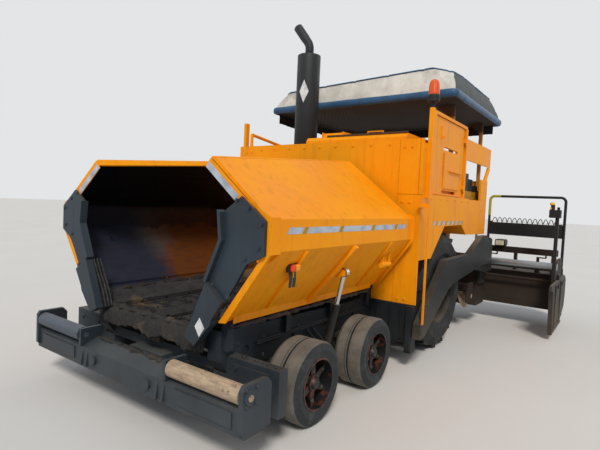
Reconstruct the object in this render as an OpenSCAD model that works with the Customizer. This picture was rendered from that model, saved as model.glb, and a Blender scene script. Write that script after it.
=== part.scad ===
/* [Overall] */
// Half width of the tractor body
body_half_w = 1250; // [1200:5:1300]
// Height of the top of the engine housing
hood_z = 2270; // [2200:10:2320]
// Height of the front wall's lower edge
front_wall_low_z = 655; // [640:5:680]
// Station of the tractor front wall along the machine
front_wall_y = 2660; // [2640:5:2680]
// Station of the operator station's rear wall
rear_wall_y = 5190; // [5170:5:5210]
// Thickness of the body side panels
panel_t = 25; // [15:1:30]

/* [Rear wheels] */
// Station of the rear axle
rear_axle_y = 3600; // [3580:5:3620]
// Radius of a rear tyre over its lugs
rear_tyre_r = 686; // [660:2:690]
// Width of a rear tyre
rear_tyre_w = 440; // [400:5:450]
// Distance of a rear tyre's middle from the centre plane
rear_wheel_x = 1005; // [1000:1:1015]
// Radius of the rear rim's outer flange
rear_rim_r = 380; // [340:5:400]
// Depth of the lugs
lug_h = 30; // [15:1:35]
// Number of lugs on each side of a rear tyre
lug_n = 16; // [14:1:18]

/* [Front wheels] */
// Radius of a front tyre
front_tyre_r = 312; // [300:1:316]
// Width of a pair of front tyres
front_pair_w = 300; // [280:2:304]
// Groove between the two tyres of a pair
pair_groove = 20; // [10:1:30]
// Distance of a front pair's outer face from the centre plane
front_face_x = 1195; // [1185:1:1200]
// Stations of the two front wheels
front_wheel_y1 = 1038; // [1030:1:1046]
// Station of the second front wheel
front_wheel_y2 = 1989; // [1980:1:1996]
// Distance of a kingpin from the centre plane
kingpin_x = 800; // [798:1:804]
// Radius of a kingpin
kingpin_r = 18; // [14:1:20]
// Radius of the front rim
front_rim_r = 195; // [185:1:205]

/* [Push beam] */
// Front of the push rollers
push_front_y = 140; // [130:1:145]
// Radius of a push roller
roller_r = 58; // [50:1:60]
// Height of the push rollers' axis
roller_z = 505; // [500:1:512]
// Inner end of a push roller
roller_in_x = 556; // [540:2:580]
// Outer end of a push roller
roller_out_x = 1205; // [1190:1:1208]
// Radius of the rollers' shafts
roller_shaft_r = 20; // [14:1:24]

/* [Frame] */
// Outer face of the frame's side beams
frame_x = 750; // [740:1:755]
// Width of a side beam
frame_w = 130; // [110:2:134]
// Lower edge of the side beams
frame_low_z = 422; // [415:1:430]
// Front end of the side beams
frame_front_y = 450; // [440:2:460]
// Rear end of the side beams
frame_rear_y = 4560; // [4520:5:4570]
// Front face of the side boxes
box_front_y = 511; // [505:1:515]
// Depth of the side boxes
box_d = 88; // [70:1:90]

/* [Hopper] */
// Distance of the wing hinge from the centre plane
hinge_x = 790; // [785:1:795]
// Height of the wing hinge
hinge_z = 790; // [785:1:795]
// Radius of the hinge pin
hinge_r = 16; // [12:1:18]
// Front edge of the wings
wing_front_y = 360; // [355:1:370]
// Rear edge of the wings
wing_rear_y = 2595; // [2580:1:2600]
// Thickness of the wing plates
wing_t = 14; // [8:1:18]
// Outward reach of the upright band from the centre plane
wing_band_x = 1195; // [1190:1:1200]
// Lower edge of the upright band
wing_band_low_z = 1327; // [1320:1:1335]
// Upper edge of the upright band
wing_band_top_z = 1533; // [1525:1:1540]
// Slope of the upper panel in degrees
wing_slope = 38; // [36:0.5:40]
// Width of the upper panel at its front edge
wing_up_front = 635; // [600:5:650]
// Width of the upper panel at its rear edge
wing_up_rear = 950; // [900:5:960]
// Thickness of the dark plates on the wings' front edges
flap_t = 24; // [15:1:28]

/* [Conveyor] */
// Height of the hopper floor
floor_z = 690; // [680:1:700]
// Width of one conveyor
conveyor_w = 500; // [460:5:520]
// Gap between the conveyors at the centre plane
conveyor_mid = 110; // [90:5:120]
// Number of slats seen on one run of a conveyor
slat_n = 20; // [14:1:24]

/* [Screed] */
// Station of the tow pins
tow_y = 2660; // [2655:1:2665]
// Height of the tow pins
tow_z = 400; // [390:1:410]
// Radius of the tow pins
tow_pin_r = 30; // [24:1:34]
// Gap between the body and the tow arms
arm_gap = 14; // [12:1:20]
// Thickness of the tow arms
arm_t = 76; // [60:1:80]
// Height of the screed's sole in the raised position
sole_z = 272; // [265:1:280]
// Front of the screed body
screed_front_y = 5030; // [5020:5:5040]
// Depth of the screed body
screed_d = 420; // [380:5:430]
// Height of the screed body
screed_h = 520; // [480:5:540]
// Outer end of the left and right extensions as parked
ext_out_x = 2130; // [2100:5:2150]
// Length of an extension
ext_len = 1150; // [1100:5:1170]
// Depth of an extension
ext_d = 430; // [400:5:440]
// Radius of the guide tubes
guide_r = 52; // [45:1:56]
// Height of the guide tubes' axis
guide_z = 900; // [890:1:910]
// Thickness of the end plates
end_t = 30; // [20:1:34]
// Rear end of the end frames
tail_y = 6390; // [6370:5:6400]

/* [Augers] */
// Radius of the augers
auger_r = 170; // [150:1:175]
// Station of the augers
auger_y = 4785; // [4780:1:4790]
// Height of the augers' axis
auger_z = 450; // [440:1:460]
// Outer end of an auger
auger_out_x = 1200; // [1150:5:1210]
// Turns of flighting on one auger
auger_turns = 4; // [3:1:5]

/* [Canopy] */
// Half width of the canopy
canopy_half_w = 1308; // [1290:2:1315]
// Front edge of the canopy
canopy_front_y = 3368; // [3360:2:3376]
// Rear edge of the canopy
canopy_rear_y = 5469; // [5460:2:5480]
// Height of the canopy's lower edge
canopy_low_z = 2896; // [2880:2:2910]
// Height of the canopy's top
canopy_top_z = 3270; // [3250:5:3290]

/* [Stack] */
// Distance of the stack from the centre plane, to the right
stack_x = 450; // [440:2:460]
// Station of the stack
stack_y = 3000; // [2990:2:3010]
// Radius of the muffler
muffler_r = 145; // [130:1:150]
// Height of the muffler's top
muffler_top_z = 3400; // [3360:5:3420]
// Radius of the outlet pipe
outlet_r = 52; // [44:1:56]

/* [Clearances] */
// Radial clearance of a pin or shaft in its bore
run_gap = 0.5; // [0.3:0.1:0.8]
// Side clearance between moving pieces
side_gap = 6; // [5:0.5:8]

/* [Hidden] */
$fn = 48;
// Middle of the whole length, which the origin stands under
mid_y = (push_front_y + tail_y) / 2;
roller_y = push_front_y + roller_r;
front_wheel_x = front_face_x - front_pair_w / 2;
wheel_ys = [front_wheel_y1, front_wheel_y2];
bogie_y = (front_wheel_y1 + front_wheel_y2) / 2;
axle_r = 60;
band_pt = [wing_band_x, wing_band_top_z];
// Faces that follow the body's width
house_x = body_half_w - 100;
post_x = body_half_w - 145;
guard_x = body_half_w - 50;
arm_x = body_half_w + arm_gap;
beam_half = roller_out_x + 45;
front_top_z = hood_z + 70;
ext_front_y = screed_front_y + screed_d + 50;
guide_y = screed_front_y + screed_d + 25 + guide_r;

// Frame of reference: every module is drawn at its station along the machine
module place() { translate([0, -mid_y, 0]) children(); }
module mirror_x(on = true) { if (on) mirror([1, 0, 0]) children(); else children(); }
module both() { children(); mirror([1, 0, 0]) children(); }
// A profile of [y, z] points made solid from x0 over a thickness
module side_plate(pts, x0, t) {
  translate([x0, 0, 0]) rotate([90, 0, 90]) linear_extrude(height = t) polygon(pts);
}
// A profile of [x, z] points made solid from y0 over a thickness
module cross_plate(pts, y0, t) {
  translate([0, y0 + t, 0]) rotate([90, 0, 0]) linear_extrude(height = t) polygon(pts);
}
module box(lo, hi) { translate(lo) cube([hi[0] - lo[0], hi[1] - lo[1], hi[2] - lo[2]]); }
// A round bar between two points
module rod(a, b, r, f = 24) {
  d = b - a;
  l = norm(d);
  translate(a) rotate([0, acos(d[2] / l), atan2(d[1], d[0])]) cylinder(r = r, h = l, $fn = f);
}
module x_cyl(x0, x1, y, z, r, f = 48) {
  translate([x0, y, z]) rotate([0, 90, 0]) cylinder(r = r, h = x1 - x0, $fn = f);
}
module y_cyl(y0, y1, x, z, r, f = 32) {
  translate([x, y0, z]) rotate([-90, 0, 0]) cylinder(r = r, h = y1 - y0, $fn = f);
}

// Frame: two side beams, cross members, side boxes, tow brackets and hinge lugs
frame_top = [[frame_front_y, 735], [2510, 670], [frame_rear_y, 670]];
lug_ys = [470, 1130, 1790, 2500];
lug_w = 60;
wcyl_y = bogie_y;
wcyl_base = [925, 400];
beam_pin_y = 425;
module chassis_frame() {
  color("#2b2e33") {
    both() {
      // Side beam
      difference() {
        side_plate(concat([[frame_front_y, 520], [frame_front_y + 80, frame_low_z],
          [frame_rear_y, frame_low_z]], [frame_top[2], frame_top[1], frame_top[0]]),
          frame_x - frame_w, frame_w);
        for (y = [700, 1250, 1750, 2250, 3050, 4200]) x_cyl(frame_x - 14, frame_x + 1, y, 545, 42, 32);
      }
      // Side boxes behind the push beam, with their cover plates
      box([frame_x + 0.3, box_front_y, 247], [body_half_w - 29, box_front_y + box_d, 559]);
      box([frame_x - frame_w, box_front_y, 300], [frame_x, box_front_y + box_d, 421.7]);
      box([820, box_front_y - 10.3, 290], [1140, box_front_y - 0.3, 520]);
      for (x = [850, 1110]) for (z = [315, 495]) y_cyl(box_front_y - 22, box_front_y - 10, x, z, 13, 16);
      // Dark wall under the front wall
      box([frame_x + 0.3, front_wall_y - 30, 260], [body_half_w - 70.3, front_wall_y + 10, front_wall_low_z - 0.3]);
      for (x = [850, 1000, 1120]) box([x, front_wall_y - 48, 300], [x + 14, front_wall_y - 30.3, 640]);
      // Tow bracket with its rails
      difference() {
        box([body_half_w - 70, tow_y - 55, 170], [body_half_w, tow_y + 55, 645]);
        x_cyl(body_half_w - 80, body_half_w + 10, tow_y, tow_z, tow_pin_r + run_gap);
      }
      for (y = [tow_y - 75, tow_y + 55.3]) box([body_half_w - 60, y, 200], [body_half_w - 6, y + 19.7, 620]);
      // Lugs of the wing hinge
      for (y = lug_ys) translate([0, y, 0]) difference() {
        union() {
          box([hinge_x - 60, 0, frame_top[0][1] + 0.3], [hinge_x, lug_w, hinge_z]);
          box([frame_x + 0.3, 0, 600], [hinge_x, lug_w, hinge_z]);
          y_cyl(0, lug_w, hinge_x, hinge_z, 32);
        }
        y_cyl(-1, lug_w + 1, hinge_x, hinge_z, hinge_r + run_gap);
      }
      y_cyl(frame_front_y, lug_ys[3] + lug_w, hinge_x, hinge_z, hinge_r);
      // Brackets and pins of the wing cylinders
      for (s = [-1, 1]) translate([0, wcyl_y + s * 44 - 7, 0])
        cross_plate([[frame_x + 0.3, 430], [870, 360], [960, 360], [960, 440], [870, 470], [frame_x + 0.3, 560]], 0, 14);
      y_cyl(wcyl_y - 51, wcyl_y + 51, wcyl_base[0], wcyl_base[1], 18);
      // Hangers and pins of the bogie beams
      box([frame_x - frame_w, bogie_y - 50, 260], [frame_x - frame_w + 8, bogie_y + 50, 421.7]);
      x_cyl(frame_x - frame_w, frame_x + 8, bogie_y, 330, 30);
      // Hydraulic pipes along the beam
      for (z = [572, 590]) y_cyl(box_front_y + 300, 2560, frame_x + 9, z, 8, 16);
    }
    // Cross members below the conveyors
    for (y = [box_front_y, 1470, 2620, 4470]) box([0.3 - frame_x + frame_w, y, 425], [frame_x - frame_w - 0.3, y + 80, 500]);
    // Nose that carries the push beam, with its upright pin
    box([-200, 380, 405], [200, box_front_y - 0.3, 455]);
    box([-200, 380, 245], [200, box_front_y - 0.3, 295]);
    box([-200, beam_pin_y + 70, 295.3], [200, box_front_y - 0.3, 404.7]);
    box([-200, box_front_y, 245], [200, box_front_y + 60, 424.7]);
    translate([0, beam_pin_y, 250]) cylinder(r = 30, h = 200);
  }
}
module bogie_beams() {
  inner = kingpin_x - 64;
  color("#26292e") both() {
    difference() {
      side_plate([[front_wheel_y1 - 80, 230], [front_wheel_y1 - 40, 180], [front_wheel_y2 + 40, 180],
        [front_wheel_y2 + 80, 230], [front_wheel_y2 + 80, 418], [front_wheel_y1 - 80, 418]], 632, inner - 632.3);
      x_cyl(600, 800, bogie_y, 330, 30 + run_gap);
    }
    // Forks that hold the kingpins
    for (y = wheel_ys) for (z = [180, 380]) difference() {
      union() {
        translate([kingpin_x, y, z]) cylinder(r = 48, h = 38);
        box([inner, y - 48, z], [kingpin_x, y + 48, z + 38]);
      }
      translate([kingpin_x, y, z - 1]) cylinder(r = kingpin_r + run_gap, h = 40);
    }
  }
}
module knuckle(side, i) {
  y = wheel_ys[i];
  color("#34373c") mirror_x(side < 0) {
    translate([kingpin_x, y, 170]) cylinder(r = kingpin_r, h = 258);
    translate([kingpin_x, y, 225]) cylinder(r = 46, h = 148);
    for (z = [160, 424]) translate([kingpin_x, y, z]) cylinder(r = 30, h = 12);
    x_cyl(kingpin_x + 30, 905, y, front_tyre_r, 50);
    x_cyl(900, front_wheel_x + 90, y, front_tyre_r, 34);
    // Steering arm
    box([kingpin_x - 12, y + 30, 236], [kingpin_x + 12, y + 115, 262]);
    translate([kingpin_x, y + 115, 236]) cylinder(r = 18, h = 40, $fn = 24);
  }
}
module front_wheel(side, i) {
  y = wheel_ys[i];
  half = front_pair_w / 2;
  one = (front_pair_w - pair_groove) / 2;
  r = front_tyre_r;
  color("#4a453f") mirror_x(side < 0) translate([front_wheel_x, y, r]) rotate([0, 90, 0]) {
    // Two smooth tyres with round shoulders on one rim
    rotate_extrude($fn = 64) polygon([
      [front_rim_r, -half + 14], [r - 60, -half], [r - 12, -half + 22], [r, -half + 46],
      [r, -half + one - 16], [r - 42, -half + one], [r - 42, half - one], [r, half - one + 16],
      [r, half - 46], [r - 12, half - 22], [r - 60, half], [front_rim_r, half - 14]]);
    // Rim ring, and the star hub with its cap
    difference() {
      union() {
        rotate_extrude($fn = 64) polygon([[front_rim_r - 14, -half + 10], [front_rim_r + 1, -half + 10],
          [front_rim_r + 1, half - 10], [front_rim_r - 14, half - 10]]);
        translate([0, 0, -60]) cylinder(r = 62, h = 158);
        for (k = [0:5]) rotate([0, 0, 60 * k]) translate([0, 0, 30]) linear_extrude(height = 55)
          polygon([[50, -30], [front_rim_r - 8, -17], [front_rim_r - 8, 17], [50, 30]]);
      }
      translate([0, 0, -61]) cylinder(r = 34 + run_gap, h = 152);
    }
    translate([0, 0, 97]) cylinder(r1 = 50, r2 = 36, h = 22);
  }
}
module rear_axle() {
  color("#26292e") {
    both() {
      side_plate([[rear_axle_y - 190, 430], [rear_axle_y + 190, 430], [rear_axle_y + 190, 700],
        [rear_axle_y + 110, 850], [rear_axle_y - 110, 850], [rear_axle_y - 190, 700]], frame_x + 12.3, 14);
      box([frame_x + 0.3, rear_axle_y - 170, 440], [frame_x + 13, rear_axle_y + 170, 685]);
      x_cyl(frame_x + 20, 880, rear_axle_y, rear_tyre_r, 150);
      x_cyl(870, 930, rear_axle_y, rear_tyre_r, 105);
      x_cyl(920, 1120, rear_axle_y, rear_tyre_r, axle_r);
    }
  }
}
module rear_tyre(side) {
  half = rear_tyre_w / 2;
  r = rear_tyre_r;
  base = r - lug_h;
  // Flat lug tops lie so that their corners reach the tyre's radius
  lug_side = (half - 20) * sin(32) + 30 * cos(32);
  lug_top = sqrt(r * r - lug_side * lug_side);
  color("#2a2a2c") mirror_x(side < 0) translate([rear_wheel_x, rear_axle_y, r]) rotate([0, 90, 0]) {
    rotate_extrude($fn = 48) polygon([[rear_rim_r, -half + 40], [rear_rim_r + 60, -half + 8],
      [base - 90, -half], [base, -half + 60], [base, half - 60], [base - 90, half], [rear_rim_r + 60, half - 8],
      [rear_rim_r, half - 40]]);
    for (k = [0:lug_n - 1]) for (s = [0, 1])
      rotate([0, 0, (k + s / 2) * 360 / lug_n]) mirror([0, 0, s]) translate([base - 26, 0, 4])
        rotate([32, 0, 0]) translate([0, -30, 0]) cube([lug_top - base + 26, 60, half - 20]);
  }
}
module rear_rim(side) {
  color("#1c1d20") mirror_x(side < 0) translate([rear_wheel_x, rear_axle_y, rear_tyre_r]) rotate([0, 90, 0]) {
    // Dished disc and rim with its outer ring
    rotate_extrude($fn = 48) polygon([[axle_r + run_gap, -20], [200, -20], [300, 40], [rear_rim_r - 30, 60],
      [rear_rim_r - 30, -180], [rear_rim_r, -180], [rear_rim_r, 180.6], [rear_rim_r + 14, 190],
      [rear_rim_r - 16, 196], [rear_rim_r - 30, 150], [rear_rim_r - 30, 80], [290, 60], [190, 10],
      [150, 110], [axle_r + run_gap, 110]]);
    // Wheel nuts
    for (k = [0:9]) rotate([0, 0, 36 * k]) translate([225, 0, 12]) cylinder(r = 17, h = 38, $fn = 16);
  }
}

// Push beam with its brackets, and the rollers
module push_beam() {
  color("#2f3238") difference() {
    union() {
      side_plate([[push_front_y + 25, 262], [335, 262], [335, 470], [292, 470], [push_front_y + 25, 418]],
        -beam_half, 2 * beam_half);
      both() {
        // Cover plates and the tow hooks' eyes on the beam's face
        box([620, push_front_y + 15, 300], [1150, push_front_y + 26, 395]);
        side_plate([[push_front_y + 6, 275], [push_front_y + 60, 275], [push_front_y + 60, 410],
          [push_front_y + 26, 410]], 430, 24);
        side_plate([[push_front_y + 6, 275], [push_front_y + 60, 275], [push_front_y + 60, 410],
          [push_front_y + 26, 410]], 500, 24);
        y_cyl(push_front_y + 4, push_front_y + 20, 340, 345, 34, 24);
        side_plate([[push_front_y + 5, 300], [push_front_y + 40, 275], [400, 275], [400, 540],
          [365, 579], [push_front_y + 25, 579], [push_front_y + 5, 550]], roller_out_x + 10, beam_half - roller_out_x - 10);
        x_cyl(beam_half - 2, beam_half + 12, roller_y, roller_z, 44, 32);
        side_plate([[push_front_y + 12, 430], [330, 430], [330, 560], [push_front_y + 12, 560]],
          roller_in_x - 41, 30);
      }
      box([-60, 330, 300], [60, beam_pin_y, 400]);
      translate([0, beam_pin_y, 300]) cylinder(r = 60, h = 100);
    }
    translate([0, beam_pin_y, 290]) cylinder(r = 30 + run_gap, h = 120);
    both() x_cyl(roller_in_x - 60, roller_out_x + 80, roller_y, roller_z, roller_shaft_r + run_gap);
  }
}
module push_roller(side) {
  color(side > 0 ? "#b08a5e" : "#3c4450") mirror_x(side < 0) {
    x_cyl(roller_in_x, roller_out_x, roller_y, roller_z, roller_r);
    x_cyl(roller_in_x - 44, beam_half + 16, roller_y, roller_z, roller_shaft_r);
  }
}

// Hopper floor plates beside the conveyors, with the centre cover
module hopper_floor() {
  side_x = conveyor_mid / 2 + conveyor_w + 3;
  color("#3a3633") {
    both() {
      cross_plate([[side_x, 702], [hinge_x - 62, 800], [hinge_x - 62, 812], [side_x, 714]], frame_front_y, 2205);
      // Chain guard along the conveyor's outer edge
      box([side_x, frame_front_y + 20, 650], [side_x + 14, 2655, 701.7]);
    }
    // Centre cover
    cross_plate([[-conveyor_mid / 2 + 6, 500.3], [conveyor_mid / 2 - 6, 500.3], [conveyor_mid / 2 - 6, 700],
      [0, 750], [-conveyor_mid / 2 + 6, 700]], frame_front_y + 30, 4060);
    box([-619.7, frame_front_y, 590], [619.7, frame_front_y + 8, 712]);
  }
}
// Two slat conveyors, each one closed loop round its end drums
module conveyors() {
  y0 = 560;
  y1 = 4555;
  drum = 66;
  zc = floor_z - drum - 24;
  color("#4b4743") both() translate([conveyor_mid / 2, 0, 0]) {
    for (y = [y0, y1]) x_cyl(8, conveyor_w - 8, y, zc, drum - 12.3, 32);
    // Runs of the loop, and its chains at both edges
    box([8, y0, zc + drum - 12], [conveyor_w - 8, y1, zc + drum]);
    box([8, y0, zc - drum], [conveyor_w - 8, y1, zc - drum + 12]);
    for (x = [14, conveyor_w - 44]) box([x, y0, zc + drum + 0.3], [x + 30, y1, zc + drum + 14]);
    for (k = [0:slat_n - 1])
      box([46, y0 + (k + 0.4) * (y1 - y0) / slat_n, zc + drum + 0.3],
        [conveyor_w - 46, y0 + (k + 0.4) * (y1 - y0) / slat_n + 50, zc + drum + 24]);
  }
}
module front_apron() {
  color("#262524") {
    side_plate([[frame_front_y - 0.3, 690], [frame_front_y - 12, 692], [400, 600],
      [396, 470], [408, 470], [412, 596], [frame_front_y - 0.3, 672]], -640, 1280);
  }
}

// Hopper wings: lower panel, upright band, sloping upper panel and lip flanges
module wing(side) {
  s = side;
  len = wing_rear_y - wing_front_y;
  lx = hinge_x + 26;
  lz = hinge_z + 34;
  lower_ang = atan2(wing_band_low_z - lz, wing_band_x - lx);
  lower_len = norm([wing_band_x - lx, wing_band_low_z - lz]);
  // Half the bend between the band and the upper panel, for the mitred corner
  bend = (90 - wing_slope) / 2;
  up = [-cos(wing_slope), sin(wing_slope)];
  inward = [-sin(wing_slope), -cos(wing_slope)];
  tip = band_pt + max(wing_up_front, wing_up_rear) * up;
  tip_in = tip + wing_t * inward;
  start = band_pt + 50 * up;
  mid = wing_t / 2;
  run = (wing_up_rear - wing_up_front) / len;
  profile = [[s * lx, lz], [s * wing_band_x, wing_band_low_z], [s * band_pt[0], band_pt[1]],
    [s * tip[0], tip[1]], [s * tip_in[0], tip_in[1]],
    [s * (wing_band_x - wing_t), wing_band_top_z - wing_t * tan(bend)],
    [s * (wing_band_x - wing_t), wing_band_low_z + 5], [s * (lx - 11), lz + 9]];
  edge = [[s * (lx - 3), lz + 3], [s * (lx + 55), lz + 10], [s * (wing_band_x + 30), wing_band_low_z - 10],
    [s * (wing_band_x + 30), wing_band_top_z + 14], [s * (start[0] + 12), start[1] + 14],
    [s * (start[0] + mid * inward[0]), start[1] + mid * inward[1]],
    [s * (wing_band_x - mid), wing_band_top_z - mid * tan(bend)],
    [s * (wing_band_x - mid), wing_band_low_z + 3], [s * (lx - 6), lz + 6]];
  color("#f59a0b") {
    // Folded plate, its top edge cut on the slant
    difference() {
      cross_plate(profile, wing_front_y + 1, len - 2);
      translate([s * band_pt[0], 0, band_pt[1]]) rotate([0, s * wing_slope, 0]) translate([0, 0, -90])
        linear_extrude(height = 180) polygon([[-s * (wing_up_front - 10 * run), wing_front_y - 10],
          [-s * (wing_up_rear + 10 * run), wing_rear_y + 10], [-s * (wing_up_rear + 200), wing_rear_y + 10],
          [-s * (wing_up_rear + 200), wing_front_y - 10]]);
    }
    // Lip along the top edge
    translate([s * band_pt[0], 0, band_pt[1]]) rotate([0, s * wing_slope, 0]) translate([0, 0, -58])
      linear_extrude(height = 60) polygon([[-s * (wing_up_front + 1), wing_front_y],
        [s * (13 - wing_up_front), wing_front_y], [s * (13 - wing_up_rear), wing_rear_y],
        [-s * (wing_up_rear + 1), wing_rear_y]]);
    // Slanted box rib on the lower panel
    translate([s * lx, 0, lz]) rotate([0, -s * lower_ang, 0]) translate([0, 0, -34]) linear_extrude(height = 36)
      polygon([[s * 30, 1320], [s * (lower_len - 8), 1440], [s * (lower_len - 8), 1492], [s * 30, 1392]]);
    // Thin parallel rib behind it, and a short one in front
    translate([s * lx, 0, lz]) rotate([0, -s * lower_ang, 0]) translate([0, 0, -22]) linear_extrude(height = 24)
      for (y = [780, 2130]) polygon([[s * 60, y], [s * (lower_len - 8), y], [s * (lower_len - 8), y + 12],
        [s * 60, y + 12]]);
    // Flanges at the front and rear edges, and the raised band behind the front one
    for (y = [wing_front_y, wing_rear_y - 12]) cross_plate(edge, y, 12);
    cross_plate([[s * (wing_band_x - mid), wing_band_low_z + 3], [s * (wing_band_x + 30), wing_band_low_z - 10],
      [s * (wing_band_x + 30), wing_band_top_z + 14], [s * (start[0] + 12), start[1] + 14],
      [s * (start[0] + mid * inward[0]), start[1] + mid * inward[1]],
      [s * (wing_band_x - mid), wing_band_top_z - mid * tan(bend)]], wing_front_y + 11, 80);
    // Raised edge band along the front of the upper panel
    translate([s * band_pt[0], 0, band_pt[1]]) rotate([0, s * wing_slope, 0]) translate([0, 0, -mid])
      linear_extrude(height = mid + 12) polygon([[-s * 36, wing_front_y + 3], [-s * (wing_up_front - 30), wing_front_y + 3],
        [-s * (wing_up_front - 20), wing_front_y + 46], [-s * 36, wing_front_y + 46]]);
    // Gusset under the band's front end
    cross_plate([[s * (wing_band_x - 70), wing_band_low_z - 88], [s * (wing_band_x + 30), wing_band_low_z - 12],
      [s * (wing_band_x + 30), wing_band_low_z + 60], [s * (wing_band_x - mid), wing_band_low_z + 60],
      [s * (wing_band_x - 80), wing_band_low_z - 70]], wing_front_y + 90, 12);
    // Latch tube on the lower panel, with its lock rod
    y_cyl(2150, 2330, s * 1094, 1092, 26, 24);
    for (y = [2168, 2300]) cross_plate([[s * 1082, 1192], [s * 1078, 1092], [s * 1110, 1092], [s * 1116, 1220]], y, 12);
    rod([s * 1094, 2240, 1060], [s * 1094, 2240, 1180], 10, 16);
    // Bracket of the marker lamp
    box([min(s * 1070, s * 1120), 742, 1128], [max(s * 1070, s * 1120), 754, 1230]);
    // Hinge barrels between the frame's lugs
    for (k = [0:2]) difference() {
      union() {
        y_cyl(lug_ys[k] + lug_w + side_gap, lug_ys[k + 1] - side_gap, s * hinge_x, hinge_z, 30);
        cross_plate([[s * hinge_x, hinge_z + 10], [s * (hinge_x + 40), hinge_z + 10],
          [s * (hinge_x + 40), hinge_z + 50], [s * hinge_x, hinge_z + 50]],
          lug_ys[k] + lug_w + side_gap, lug_ys[k + 1] - lug_ys[k] - lug_w - 2 * side_gap);
      }
      y_cyl(lug_ys[k], lug_ys[k + 1] + lug_w, s * hinge_x, hinge_z, hinge_r + run_gap);
    }
    // Lugs and pin that the wing cylinder's rod pushes
    for (e = [-1, 1]) cross_plate([[s * 968, 1038], [s * 1040, 1045], [s * 1102, 1062], [s * 1102, 1104],
      [s * 1070, 1112], [s * 1028, 1120]], wcyl_y + e * 34 - 6, 12);
    y_cyl(wcyl_y - 40, wcyl_y + 40, s * wcyl_eye[0], wcyl_eye[1], 12, 24);
  }
}
flap_pts = [[997, 1667], [1196, 1520], [1196, 1311], [1057, 1243], [800, 850], [791, 816],
  [644, 650], [550, 698], [870, 1380], [845, 1563]];
module wing_plate(side) {
  y1 = wing_front_y - 0.2;
  color("#2b2f36") mirror_x(side < 0) {
    // Six-sided bent plate with its folded inner edge
    cross_plate(flap_pts, y1 - flap_t, flap_t);
    cross_plate([[820, 1575], [845, 1563], [870, 1380], [736, 1093], [712, 1104], [842, 1384]], y1 - 62, 62);
    // Box-shaped lower arm
    cross_plate([[800, 850], [791, 816], [644, 650], [550, 698], [736, 1092], [890, 985]], y1 - flap_t - 38,
      38 + flap_t);
    // Screw heads along the outer edge
    for (p = [[1150, 1350], [1168, 1500], [1060, 1590], [960, 1640], [1040, 1275]])
      y_cyl(y1 - flap_t - 9, y1 - flap_t + 1, p[0], p[1], 12, 16);
  }
}

// Wing cylinders, drawn along the line from their base pin to the wing's pin
wcyl_eye = [1076, 1084];
wcyl_len = norm(wcyl_eye - wcyl_base);
wcyl_ang = atan2(wcyl_eye[0] - wcyl_base[0], wcyl_eye[1] - wcyl_base[1]);
module at_wcyl(side) {
  translate([side * wcyl_base[0], wcyl_y, wcyl_base[1]]) rotate([0, side * wcyl_ang, 0]) children();
}
module wing_barrel(side) {
  color("#3a3d42") at_wcyl(side) difference() {
    union() {
      rotate([90, 0, 0]) translate([0, 0, -31]) cylinder(r = 34, h = 62, $fn = 32);
      translate([0, 0, 20]) cylinder(r = 32, h = 400, $fn = 32);
    }
    rotate([90, 0, 0]) translate([0, 0, -32]) cylinder(r = 18 + run_gap, h = 64, $fn = 32);
    translate([0, 0, 60]) cylinder(r = 20 + run_gap, h = 400, $fn = 32);
  }
}
module wing_rod(side) {
  color("#c9ccd0") at_wcyl(side) difference() {
    union() {
      translate([0, 0, 285]) cylinder(r = 20, h = wcyl_len - 285 - 30, $fn = 32);
      translate([0, 0, wcyl_len]) rotate([90, 0, 0]) cylinder(r = 38, h = 40, center = true, $fn = 32);
    }
    translate([0, 0, wcyl_len]) rotate([90, 0, 0]) cylinder(r = 24, h = 42, center = true, $fn = 32);
  }
}

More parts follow.
